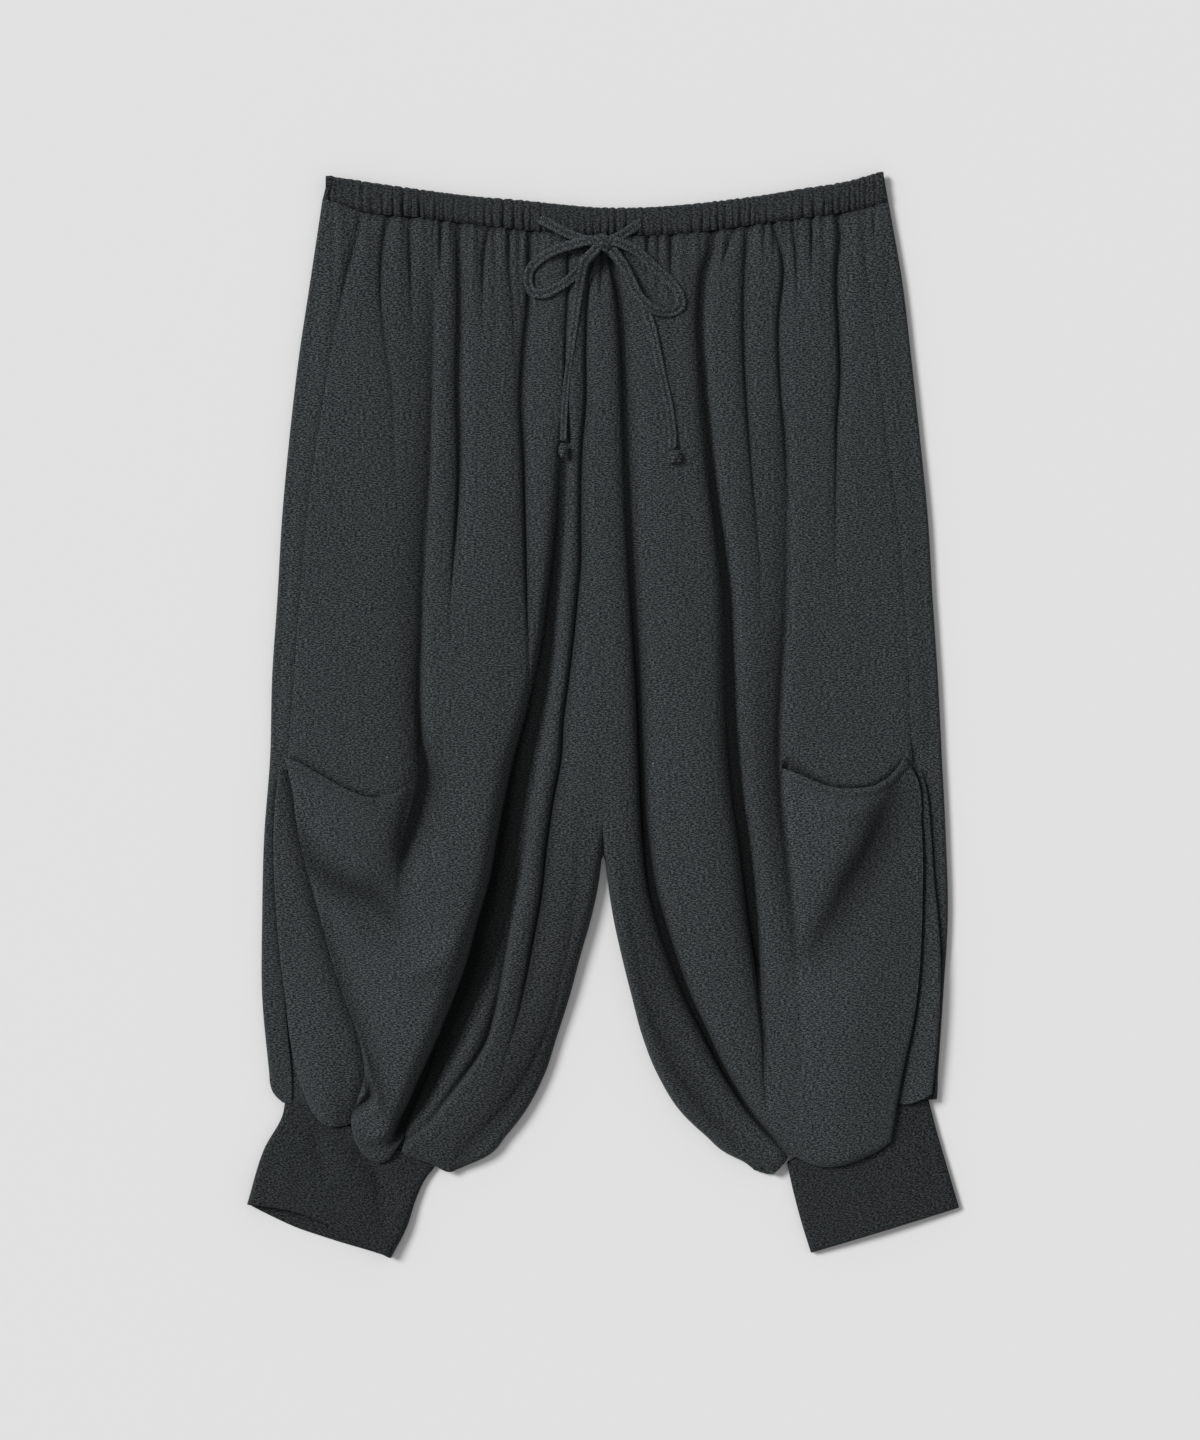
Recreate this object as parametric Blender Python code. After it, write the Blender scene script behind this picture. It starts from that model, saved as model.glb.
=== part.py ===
"""Balloon pants in charcoal jersey, laid flat on their back.

Frame: +Z up, +Y to the waist, +X to the right of the garment as it lies. The origin is on the
surface, under the middle of the garment. Every piece is a wall of cloth: a grid of points on
its outer face, and the same grid moved in by the wall's thickness. The sizes and tables are in
millimetres, and the meshes in metres.

Lengths along the garment are read at stations: station 0 is at y = 390, and each next one is
60 mm further down. A table with one value a station is read between them by a smooth curve.
"""
import math
from collections import namedtuple

import bmesh
import bpy
import numpy as np

MM = 0.001
LEFT = -1
RIGHT = 1

# Walls and gaps
WALL = 2.0
BAND_WALL = 2.2
CUFF_WALL = 2.4
GAP = 0.3
UNDER = WALL + GAP
FLOOR = UNDER + WALL + 0.1
EDGE = 0.5
FOLD_SHAPE = 1.5
FLOOR_BLEND = 0.8

# Stations
TOP_STATION = 390.0
PITCH = 60.0

# The outer fold of the garment
ROLL = 7.0
ROLL_STEPS = 5
EDGE_REACH = 34.0

# The waist
BAND_HIGH = 7.6
SAG_FADE = 95.0
GATHERS = 62
GATHER_RISE = 0.9
SEAM_DIP = 1.6
SEAM_DIP_LONG = 7.0

# The legs
CROTCH_START = -70.0
CROTCH_END = -118.0
INSEAM_ROUND = 9.0
OUTER_COLUMNS = 12
INNER_COLUMNS = 20
LEG_ROWS = 26
ROW_SPREAD = 0.96
ROWS_LEVEL = 0.45
BACK_COLUMNS = 7
WRAP_COLUMNS = 4
WRAP_ENDS = -30.0
WRAP_BLEND = 22.0

# The pouches, and the folded side that shows beside each of them
POUCH_COLUMNS = 15
POUCH_ROWS = 15
POUCH_LOW = 10.0
POUCH_LIFT = 3.6
POUCH_ROUND = 6.5
FOOT_ROUND = 7.8
FOOT_LIFT = 1.4
MOUTH_FALL = 16.0
MOUTH_LEAD = 14.0
MOUTH_LEAD_REACH = 50.0
HIDDEN_LEG = 5.0
STEP_IN = -1.2
STEP_OUT = 0.6
STEP_CLEAR = 0.8
BESIDE_LEG = {LEFT: -275.0, RIGHT: -340.0}
SIDE_ROWS = 14
SIDE_COLUMNS = (0, 0.08, 0.22, 0.45, 0.7, 1.0)
SIDE_ROUND = 3.0
SIDE_HIGH = 9.6
SIDE_LOW = ROLL + GAP + 0.1

# The cuffs
CUFF_COLUMNS = 12
CUFF_ROWS = 7
CUFF_ROUND = 6.0
CUFF_BACK_COLUMNS = 7
CUFF_CROWN = 0.25

# The tie: a flat band of the same cloth, here a plain round tube
TIE_RADIUS = 2.4
TIE_STEP = 12.0

# Edges of the laid garment, one value a station
OUTER = {
    LEFT: (-211, -220, -229, -236, -241.5, -245, -249, -250.5, -255, -256.5, -256.5, -251),
    RIGHT: (215, 225, 232, 238.5, 244.5, 248, 252, 255, 258, 259.5, 256, 252),
}
SIDE_SEAM = {
    LEFT: (-180, -194, -205.5, -215, -223, -228, -232.5, -237, -240, -240, -239, -234),
    RIGHT: (192, 199, 206, 213, 221, 226, 229.5, 232, 241, 242, 240, 236),
}
POUCH_SEAM = {
    LEFT: (-128, -128, -128, -130, -132, -136, -137, -134, -122, -110.5, -117, -133, -152),
    RIGHT: (134, 134, 134, 134, 134, 134, 134, 134, 136, 142, 146, 148, 146),
}
CREST = (7.6, 9.6, 10.2, 10.6, 11.0, 11.6, 12.6, 13.6, 14.6, 15.0, 15.4, 15.0, 12.0, 9.0)

# The inner leg from the crotch to the bottom, x for each y, mirrored for the other leg
INSEAM_Y = (-105, -120, -150, -180, -210, -240, -270, -300, -315, -330, -341)
INSEAM_X = (1.0, 2.0, 6.5, 14, 22.5, 31.5, 43.5, 62.5, 76.5, 94, 122)

# Where the legs meet the cuffs, from the outer corner to the inner one
CUFF_LINE = {
    LEFT: ((-250, -280), (-125, -340)),
    RIGHT: ((252, -286), (134, -342)),
}

# The waist: the lower seam and the upper edge of the band, y for each x
SEAM_X = (-211, -181, -134, -100, -49, -2, 28, 73, 106, 158, 178, 215)
SEAM_Y = (390, 380, 375, 370.5, 365, 361.5, 361.5, 364.5, 369, 376, 378.5, 387)
BAND_X = (-208, -182, -152, -122, -92, -62, -32, -2,
          28, 58, 88, 118, 148, 178, 193, 208)
BAND_Y = (403.5, 400, 395.5, 391.5, 388, 385.5, 382.5, 380,
          380, 382, 385, 389, 394, 398.5, 402, 406.5)

# The band's front from its lower to its upper edge: part of its height, how much higher or
# lower than BAND_HIGH it stands, and how strongly it is gathered
BandRow = namedtuple("BandRow", "part rise gather")
BAND_ROWS = (
    BandRow(0.0, -1.7, 1.0),
    BandRow(0.16, 0.0, 1.0),
    BandRow(0.5, 0.5, 0.7),
    BandRow(0.86, -0.7, 0.8),
    BandRow(1.0, -3.0, 0.3),
)
BAND_SEAM = {LEFT: -181.5, RIGHT: 192.5}
BAND_BEND = {LEFT: -207.0, RIGHT: 211.0}
BAND_ROLL = 3.8
BAND_LEAN = 3.5
BAND_KNOBS = 0.35

# Long folds, one row each. first is the first station; x and rise have a value a station;
# left and right are the widths of the two sides; floor is the half width of a valley's flat
# bottom, as a share of its depth. A rise below 0 is a valley.
Fold = namedtuple("Fold", "name first x rise left right floor")
FOLDS = (
    Fold("left gather 1", 0, (-161, -166, -158, -157), (-3, -2.2, -1, 0), 6, 6, 0),
    Fold("left gather 2", 0, (-148, -144, -141), (-3, -1.6, 0), 5, 5, 0),
    Fold("left gather 3", 0, (-122, -122), (-3, 0), 5, 5, 0),
    Fold("left soft hollow", 1, (-127, -128, -130, -132, -136, -137, -134, -122, -110.5, -105),
         (0, -1, -2, -3, -4, -5, -6.5, -7.5, -3, 0), 20, 6, 0),
    Fold("left crease", 0, (-109, -108, -109, -108, -109.5, -115, -119),
         (-4, -5, -5.2, -5.2, -4.6, -2.5, 0), 5, 6, 0),
    Fold("left gather 4", 0, (-84, -90, -90), (-3, -1.6, 0), 5, 5, 0),
    Fold("left gather 5", 0, (-69, -69, -67, -66), (-3, -2, -1, 0), 5, 5, 0),
    Fold("left inner crease", 0, (-54, -55.5, -60, -60, -58.5, -57, -59, -62),
         (-4, -4.8, -5, -5, -4.6, -3.4, -1.5, 0), 5, 7, 0),
    Fold("left main valley", 0,
         (-28, -26, -27, -28, -32, -37.5, -45, -57, -67.5, -81, -100.5, -126, -165),
         (-3, -3, -3, -4, -5.4, -6.6, -8, -10, -13.5, -16, -17, -13, 0), 5.5, 7, 0.42),
    Fold("left valley step", 8, (-56, -69, -80, -105, -160), (0, -3, -4.6, -4.6, -1), 12, 3, 0),
    Fold("left thigh crease", 1, (-10, -13, -15, -17, -19.5, -26, -32, -42, -49.5, -61, -77),
         (-2, -3, -3.6, -4, -4, -4, -4.4, -4.6, -4, -2.6, 0), 6, 8, 0),
    Fold("left lobe", 4, (-96, -96, -97, -98, -104, -124, -142, -158, -165),
         (0, 0.5, 1.5, 3, 5, 6.5, 7.5, 8, 6), 42, 24, 0),
    Fold("left inner leg", 7, (-14, -18, -28, -44, -70, -110),
         (-1, -2.4, -3.6, -4.4, -4.4, -2), 40, 30, 0),
    Fold("centre crease", 1, (8, 15, 17, 19.5, 22.5, 26, 28.5, 31.5, 40.5, 61, 91, 135),
         (-4, -5.4, -5.6, -6, -6.2, -6.4, -6.6, -7.4, -7.6, -6.6, -5, -2), 5, 12, 0.2),
    Fold("right gather 1", 0, (34, 35), (-3, 0), 5, 5, 0),
    Fold("right gather 2", 0, (51, 52, 52), (-3, -1.6, 0), 5, 5, 0),
    Fold("right main valley", 0, (83, 76, 75, 80, 87, 94, 96, 99, 105, 112.5, 118, 121.5),
         (-4, -5.4, -5.8, -6.2, -6.6, -7.2, -8.2, -9.2, -9.6, -6.6, -3, -1), 6, 5.5, 0.35),
    Fold("right gather 3", 0, (100, 89), (-3, 0), 5, 5, 0),
    Fold("right crease", 0, (109, 106, 106.5, 109.5, 115.5, 121.5, 124),
         (-3, -3.2, -3.2, -3, -2, -1, 0), 5, 6, 0),
    Fold("right soft hollow", 0, (127.5, 135, 133, 135, 135, 134, 134, 134, 136, 142, 146),
         (-3, -3, -3, -3.4, -3.8, -4.2, -4.8, -5, -4.4, -2.4, 0), 24, 5, 0),
    Fold("right gather 4", 0, (142.5, 146, 147), (-3, -1.6, 0), 5, 5, 0),
    Fold("right gather 5", 0, (157, 157), (-3, 0), 5, 5, 0),
    Fold("right side crease", 0, (176, 176, 177, 176, 175.5, 175.5),
         (-4, -3.8, -3.6, -3, -1.5, 0), 5, 6, 0),
    Fold("right lobe", 3, (46, 52, 58, 65, 70, 75, 82, 91, 106),
         (0, 0.5, 1, 1.6, 2, 2.2, 2, 1.5, 0), 18, 18, 0),
    Fold("right pouch", 7, (180, 186, 188, 184, 180, 176), (1.5, 4.5, 6.5, 7.5, 7.5, 6), 44, 40, 0),
    Fold("right inner leg", 7, (14, 20, 30, 44, 70, 112),
         (-0.5, -1.5, -2.6, -3.4, -3.4, -1.5), 24, 30, 0),
)

# Folds that hang across the pouches, one row each: x, y and rise at each point of the path,
# then the widths on its right-hand and left-hand side, going along it
Drape = namedtuple("Drape", "name x y rise right left")
DRAPES = (
    Drape("left mouth hollow", (-133, -131, -139, -146, -153), (-30, -51, -62, -78, -104),
          (-4, -6, -6, -5, 0), 9, 9),
    Drape("left upper swag", (-214, -190, -167, -150), (-72, -100, -115, -117), (0, 2, 2, 0), 9, 9),
    Drape("left trough", (-228, -216, -194, -167, -143), (-74, -107, -126, -138, -167),
          (0, -3, -3.6, -3, 0), 10, 11),
    Drape("left lower swag", (-222, -197, -167, -145, -122, -106), (-122, -146, -178, -190, -182, -152),
          (0, 2, 2.6, 2.8, 2.6, 0), 12, 12),
    Drape("left gather ridge", (-182, -174, -163), (-240, -270, -296), (0, 2, 0), 7, 6),
    Drape("right trough", (228, 219, 211, 200, 186, 173, 147), (-34, -62, -77, -100, -124, -152, -190),
          (0, -3.4, -4.6, -5.4, -5.2, -4, 0), 22, 12),
)

# The free edges of the pouches: x and y down the outer edge and down the edge at the leg,
# then the drop of the upper and lower edges at even steps from the outer to the inner end
POUCH_OUTER = {
    LEFT: ((-239, -30), (-233, -55), (-229, -85), (-223.5, -107), (-216, -137), (-205, -175),
           (-193.5, -212), (-182, -246), (-179, -268), (-184, -287), (-189, -303), (-187, -316)),
    RIGHT: ((226.5, -30), (235.5, -46), (239, -82), (240, -111), (239.5, -145), (238.5, -174),
            (232.5, -231), (226, -262), (221, -289), (216, -319)),
}
POUCH_INNER = {
    LEFT: ((-134, -44), (-122, -90), (-110.5, -150), (-117, -210), (-133, -270), (-146, -298),
           (-149, -307), (-150.5, -316)),
    RIGHT: ((134, -38), (136, -90), (142, -150), (146, -210), (148, -270), (146, -330)),
}
MOUTH_DROP = {
    LEFT: (0, 3.5, 9.5, 15.5, 20, 21.5, 14, 4, 0),
    RIGHT: (0, 13, 19, 20, 19.5, 16.5, 11, 5, 0),
}
BOTTOM_DROP = {
    LEFT: (0, 9, 14, 17, 18.5, 18, 15, 8, 0),
    RIGHT: (0, 5, 8, 10.5, 12, 12, 10, 6, 0),
}

# The folded side beside each pouch: x and y down its outer edge
SIDE_OUTER = {
    LEFT: ((-243, -38), (-246, -62), (-247.5, -100), (-246, -137), (-243, -175), (-238.5, -212),
           (-235, -242), (-228.5, -272), (-219, -296)),
    RIGHT: ((239, -40), (242.5, -52), (246, -82), (248.5, -120), (252, -154), (253.6, -186),
            (252.5, -227), (250, -257), (247, -283)),
}
SIDE_INNER = {
    LEFT: ((-226, -50), (-216, -85), (-203, -137), (-192, -175), (-180, -212), (-171, -246),
           (-170, -262), (-176, -285), (-182, -300)),
    RIGHT: ((222, -50), (226, -82), (227, -111), (226.5, -145), (225.5, -174), (219.5, -231),
            (213, -262), (208, -286)),
}
SIDE_BOTTOM_DROP = {LEFT: (0, 8, 9, 7, 0), RIGHT: (0, 4, 6, 5, 0)}
SIDE_BULGE = {LEFT: 3.2, RIGHT: 0.6}

# The cuffs: x and y down the outer and inner edges, the drop of the two hems at even steps
# from the outer to the inner end, and how high the front stands at its upper edge and hem
CUFF_OUTER = {
    LEFT: ((-239, -284.7), (-240.5, -297), (-255, -325), (-267.8, -366.5)),
    RIGHT: ((245, -288.2), (251, -311), (260, -342), (268, -369)),
}
CUFF_INNER = {
    LEFT: ((-126.5, -338.4), (-134.5, -349), (-140, -361), (-148, -385), (-159.5, -407)),
    RIGHT: ((138.5, -335.4), (143.5, -358), (152, -389), (156.5, -403)),
}
FRONT_HEM_DROP = {LEFT: (0, -5.5, -9, -9.5, -7, -3.5, 0), RIGHT: (0, 0, 0, 0, 0, 0, 0)}
BACK_HEM_DROP = {LEFT: (0, 2.5, 4, 3.5, 2.5, 1, 0), RIGHT: (0, 0, 0, 0, 0, 0, 0)}
CUFF_HIGH = {LEFT: (7.6, 13.5), RIGHT: (7.4, 8.2)}

# The tie lies on the cloth: x, y and z along each stretch
TIE_ROUTES = {
    "tie_lead_left": ((-47, 374, 11.7), (-39, 369.5, 11.3), (-25, 362, 10.9), (-10.3, 356.8, 10.9)),
    "tie_lead_right": ((28, 370, 11.7), (20, 365.5, 11.3), (12, 360.5, 11.0), (8.2, 357.8, 10.9)),
    "tie_loop_left": ((-9, 356.8, 16.2), (-21, 354.5, 15.8), (-36, 350, 13.6), (-47, 344, 11.6),
                      (-55, 335, 10.4), (-56, 326, 10.4), (-53, 319, 11.0), (-44, 317.5, 12.5),
                      (-33, 323, 12.1), (-21, 332, 11.4), (-13, 342, 11.8), (-7.6, 348.4, 12.6)),
    "tie_loop_right": ((8.6, 356.3, 16.2), (24, 350, 15.4), (39, 337, 13.6), (52, 325, 12.4),
                       (58, 315, 12.4), (58.5, 308.5, 12.6), (52, 304, 13.0), (43, 304, 14.8),
                       (34, 308.5, 17.3), (27, 315, 17.7), (21, 327, 16.9), (14, 341, 16.0),
                       (7.6, 348.9, 15.8)),
    "tie_tail_left": ((-5.6, 349.2, 17.8), (-14, 341, 17.6), (-16.2, 332, 15.2), (-18, 322, 11.8),
                      (-21.5, 296, 11.1), (-24.5, 273, 10.8), (-27.5, 249, 10.8),
                      (-29.5, 224, 11.0), (-29.8, 204.9, 12.0)),
    "tie_tail_right": ((6, 349.3, 10.4), (11, 344, 10.4), (20.5, 328, 11.4), (29, 312, 12.3),
                       (35, 297, 12.7), (40, 276, 12.9), (45, 252, 13.2), (49, 235, 13.4),
                       (51.5, 217, 13.5), (52.2, 200, 14.0)),
}
KNOT = {"centre": (-0.5, 355.5, 14.5), "size": (16, 11, 9)}
END_KNOTS = {
    "tie_end_left": {"centre": (-30, 198.5, 12.9), "size": (8, 12, 6)},
    "tie_end_right": {"centre": (53, 194.5, 14.4), "size": (10.5, 10, 6)},
}
KNOT_FULLNESS = 0.8

CLOTH_COLOURS = {
    "waistband": (0.021, 0.025, 0.027, 1),
    "leg": (0.031, 0.037, 0.040, 1),
    "pouch": (0.029, 0.035, 0.038, 1),
    "cuff": (0.025, 0.030, 0.032, 1),
    "tie": (0.033, 0.039, 0.042, 1),
}
CLOTH_ROUGHNESS = 0.95


def smooth_step(value):
    """Goes smoothly from 0 to 1 while the value does."""
    t = np.clip(value, 0.0, 1.0)
    return t * t * (3 - 2 * t)


def read_curve(places, values, where):
    """Reads a smooth curve through the values at their places, which rise."""
    places = np.asarray(places, float)
    values = np.asarray(values, float)
    if len(places) == 2:
        return np.interp(where, places, values)
    slopes = np.gradient(values, places)
    where = np.clip(where, places[0], places[-1])
    i = np.clip(np.searchsorted(places, where, side="right") - 1, 0, len(places) - 2)
    span = places[i + 1] - places[i]
    t = (where - places[i]) / span
    start = values[i] * (1 + 2 * t) * (1 - t) ** 2 + slopes[i] * span * t * (1 - t) ** 2
    end = values[i + 1] * t * t * (3 - 2 * t) + slopes[i + 1] * span * t * t * (t - 1)
    return start + end


def at_stations(values, y, first=0):
    """Reads a table of one value a station at the height y."""
    return read_curve(np.arange(first, first + len(values)), values, (TOP_STATION - y) / PITCH)


def along(points, v):
    """Reads the smooth path through the points, v going from 0 to 1 by their lengths."""
    points = np.asarray(points, float)
    steps = np.linalg.norm(np.diff(points, axis=0), axis=1)
    places = np.concatenate([[0.0], np.cumsum(steps)]) / steps.sum()
    return np.stack([read_curve(places, column, v) for column in points.T], axis=-1)


def fold_profile(off):
    """A fold's share of its rise across it: 1 on its line, falling to 0 beyond its width."""
    return np.exp(-np.abs(off) ** FOLD_SHAPE)


def fold_rise(fold, x, y):
    """How much one long fold lifts or lowers the cloth at x, y."""
    station = (TOP_STATION - y) / PITCH
    rise = at_stations(fold.rise, y, fold.first)
    last = fold.first + len(fold.x) - 1
    ends = smooth_step(station - fold.first + 1) * smooth_step(last + 1 - station)
    off = x - at_stations(fold.x, y, fold.first)
    width = np.where(off < 0, fold.left, fold.right)
    off = np.maximum(np.abs(off) - fold.floor * np.abs(rise), 0)
    return rise * ends * fold_profile(off / width)


def drape_rise(drape, x, y):
    """How much one fold across a pouch lifts or lowers the cloth at x, y."""
    path = along(np.column_stack([drape.x, drape.y, drape.rise]), np.linspace(0, 1, 40))
    gap_x = x[..., None] - path[:, 0]
    gap_y = y[..., None] - path[:, 1]
    nearest = np.argmin(gap_x ** 2 + gap_y ** 2, axis=-1)
    heading = np.gradient(path[:, :2], axis=0)[nearest]
    gap_x = np.take_along_axis(gap_x, nearest[..., None], axis=-1)[..., 0]
    gap_y = np.take_along_axis(gap_y, nearest[..., None], axis=-1)[..., 0]
    turn = heading[..., 0] * gap_y - heading[..., 1] * gap_x
    width = np.where(turn < 0, drape.right, drape.left)
    return path[nearest, 2] * fold_profile(np.hypot(gap_x, gap_y) / width)


def waist_seam(x):
    """The height of the seam under the waistband."""
    return read_curve(SEAM_X, SEAM_Y, x)


def body_height(x, y):
    """The outer face of the laid cloth over both legs, before any edge is turned down."""
    from_edge = np.minimum(x - at_stations(OUTER[LEFT], y), at_stations(OUTER[RIGHT], y) - x)
    inward = 1 - np.exp(-np.maximum(from_edge, 0) / EDGE_REACH)
    height = ROLL + (at_stations(CREST, y) - ROLL) * inward
    for fold in FOLDS:
        height = height + fold_rise(fold, x, y)
    height = height - SEAM_DIP * np.exp(-np.maximum(waist_seam(x) - y, 0) / SEAM_DIP_LONG)
    return FLOOR + np.logaddexp(0, (height - FLOOR) / FLOOR_BLEND) * FLOOR_BLEND


def turned_down(height, low, distance, radius):
    """Turns an edge down: the height falls to low along a quarter round of this radius."""
    part = np.clip(distance / radius, 0, 1)
    return low + (height - low) * np.sqrt(1 - (1 - part) ** 2)


def mouth_edge(side, x):
    """The height y of a pouch's upper edge at x."""
    steps = np.linspace(0, 1, len(MOUTH_DROP[side]))
    start = np.asarray(POUCH_OUTER[side][0], float)
    end = np.asarray(POUCH_INNER[side][0], float)
    part = np.clip((x - start[0]) / (end[0] - start[0]), 0, 1)
    return start[1] + (end[1] - start[1]) * part - read_curve(steps, MOUTH_DROP[side], part)


def inseam(side, y):
    """The inner edge of a leg, and the centre seam above the crotch."""
    reach = read_curve(INSEAM_Y[::-1], INSEAM_X[::-1], np.minimum(y, INSEAM_Y[0]))
    reach = np.where(y > INSEAM_Y[0], 0.0, reach)
    blend = smooth_step((CROTCH_START - y) / (CROTCH_START - CROTCH_END))
    return side * (GAP / 2 + reach * blend)


def leg_height(side, x, y):
    """The front of a leg: under its pouch it lies low, and at the inseam it turns down."""
    height = body_height(x, y)
    outside = side * (x - at_stations(POUCH_SEAM[side], y))
    lead = MOUTH_LEAD * smooth_step(1 - outside / MOUTH_LEAD_REACH)
    under_pouch = smooth_step((outside - STEP_IN) / (STEP_OUT - STEP_IN))
    under_pouch = under_pouch * smooth_step((mouth_edge(side, x) + lead - y) / MOUTH_FALL)
    height = height - (height - HIDDEN_LEG) * under_pouch
    from_inseam = side * (x - inseam(side, y))
    opened = smooth_step((CROTCH_START - y) / (CROTCH_START - CROTCH_END))
    turned = turned_down(height, UNDER + EDGE, from_inseam, INSEAM_ROUND)
    return height + (turned - height) * opened


def fold_density(x, y):
    """How closely the columns of a leg stand at x: closest on its folds."""
    density = np.ones_like(x)
    for fold in FOLDS:
        depth = np.abs(at_stations(fold.rise, y, fold.first))
        narrow = min(fold.left, fold.right)
        off = np.abs(x - at_stations(fold.x, y, fold.first)) - fold.floor * depth
        density = density + 0.9 * depth / narrow / (1 + (np.maximum(off, 0) / narrow) ** 2)
    return density


def spread_points(start, end, count):
    """Points along a stretch of a leg's row, closer together where the folds are."""
    fine = np.linspace(0, 1, 200)[:, None]
    points = start + (end - start) * fine
    weight = fold_density(points[:, 0], points[:, 1])
    total = np.concatenate([[0.0], np.cumsum((weight[1:] + weight[:-1]) / 2)])
    places = np.interp(np.linspace(0, total[-1], count), total, fine[:, 0])
    return start + (end - start) * places[:, None]


def leg_row(side, start, end):
    """One row of a leg's front, with two of its points on the step at the pouch's seam."""
    step = start
    for _ in range(4):
        x = float(at_stations(POUCH_SEAM[side], step[1]))
        step = start + (end - start) * (x - start[0]) / (end[0] - start[0])
    direction = (end - start) / abs(end[0] - start[0])
    foot = step - direction * STEP_OUT
    top = step - direction * STEP_IN
    outer = spread_points(start, foot, OUTER_COLUMNS)
    inner = spread_points(top, end, INNER_COLUMNS)
    return np.concatenate([outer, inner])


def sag_at_waist(points):
    """Lowers the upper rows of a leg to the curved waist seam."""
    drop = TOP_STATION - waist_seam(points[..., 0])
    fade = 1 - smooth_step((TOP_STATION - points[..., 1]) / SAG_FADE)
    points[..., 1] -= drop * fade
    return points


def outward_normals(outer):
    """Unit normals of a piece's outer face, which looks up, or down where it lies on z = 0."""
    normal = np.cross(np.gradient(outer, axis=1), np.gradient(outer, axis=0))
    normal /= np.linalg.norm(normal, axis=-1, keepdims=True)
    lying = outer[..., 2] < 0.01
    if lying.any():
        return normal * -np.sign(normal[lying][:, 2].mean())
    return normal * np.sign(normal[..., 2].mean())


def cloth_object(name, outer, wall, colour, rests_at=0.0, upright=None):
    """A closed wall of cloth from the grid of its outer face, in millimetres.

    The inner face stays above rests_at, the top of what the piece lies on. At the points that
    upright marks the wall stands straight up, so that it doesn't lean over a seam.
    """
    rows, columns = outer.shape[:2]
    normal = outward_normals(outer)
    if upright is not None:
        normal[upright] = (0, 0, 1)
    inner = outer - normal * wall
    inner[..., 2] = np.maximum(inner[..., 2], rests_at)
    mesh = bpy.data.meshes.new(name)
    points = np.concatenate([outer.reshape(-1, 3), inner.reshape(-1, 3)]) * MM
    count = rows * columns
    faces = []
    for row in range(rows - 1):
        for column in range(columns - 1):
            a = row * columns + column
            b, c, d = a + 1, a + columns + 1, a + columns
            faces.append((a, b, c, d))
            faces.append((a + count, d + count, c + count, b + count))
    rim = list(range(columns))
    rim += [row * columns + columns - 1 for row in range(1, rows)]
    rim += [(rows - 1) * columns + column for column in range(columns - 2, -1, -1)]
    rim += [row * columns for row in range(rows - 2, 0, -1)]
    for start, end in zip(rim, rim[1:] + rim[:1]):
        faces.append((start, start + count, end + count, end))
    mesh.from_pydata(points.tolist(), [], faces)
    shape = bmesh.new()
    shape.from_mesh(mesh)
    bmesh.ops.recalc_face_normals(shape, faces=shape.faces)
    bmesh.ops.triangulate(shape, faces=shape.faces)
    shape.to_mesh(mesh)
    shape.free()
    mesh.shade_smooth()
    mesh.materials.append(cloth_material(name, colour))
    piece = bpy.data.objects.new(name, mesh)
    bpy.context.scene.collection.objects.link(piece)
    return piece


def cloth_material(name, colour):
    """Matte jersey in one of the garment's greys."""
    material = bpy.data.materials.new(name)
    material.use_nodes = True
    shader = material.node_tree.nodes["Principled BSDF"]
    shader.inputs["Base Color"].default_value = CLOTH_COLOURS[colour]
    shader.inputs["Roughness"].default_value = CLOTH_ROUGHNESS
    shader.inputs["Metallic"].default_value = 0.0
    return material


def leg_rows(side):
    """Heights y of the rows down a leg, at its outer and its inner edge."""
    v = np.linspace(0, 1, LEG_ROWS) ** ROW_SPREAD
    outer_end, inner_end = CUFF_LINE[side][0][1], CUFF_LINE[side][1][1]
    outer = TOP_STATION + (outer_end - TOP_STATION) * v
    inner = TOP_STATION + (inner_end - TOP_STATION) * v
    level = smooth_step((v - ROWS_LEVEL) / (1 - ROWS_LEVEL))
    inner = inner * level + outer * (1 - level)
    return outer, inner


def front_leg(side, name):
    """The front of one leg, from the side seam to the centre seam and the inseam."""
    outer_y, inner_y = leg_rows(side)
    rows = []
    for y_outer, y_inner in zip(outer_y, inner_y):
        start = np.array([at_stations(SIDE_SEAM[side], y_outer) - side * GAP / 2, y_outer])
        end = np.array([float(inseam(side, np.float64(y_inner))), y_inner])
        rows.append(leg_row(side, start, end))
    grid = np.stack(rows)
    grid = sag_at_waist(grid)
    height = leg_height(side, grid[..., 0], grid[..., 1])
    outer = np.concatenate([grid, height[..., None]], axis=-1)
    upright = np.zeros(height.shape, bool)
    upright[0] = True
    upright[:, 0] = True
    upright[:, -1] = inner_y > CROTCH_START
    return cloth_object(name, outer, WALL, "leg", UNDER, upright)


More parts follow.
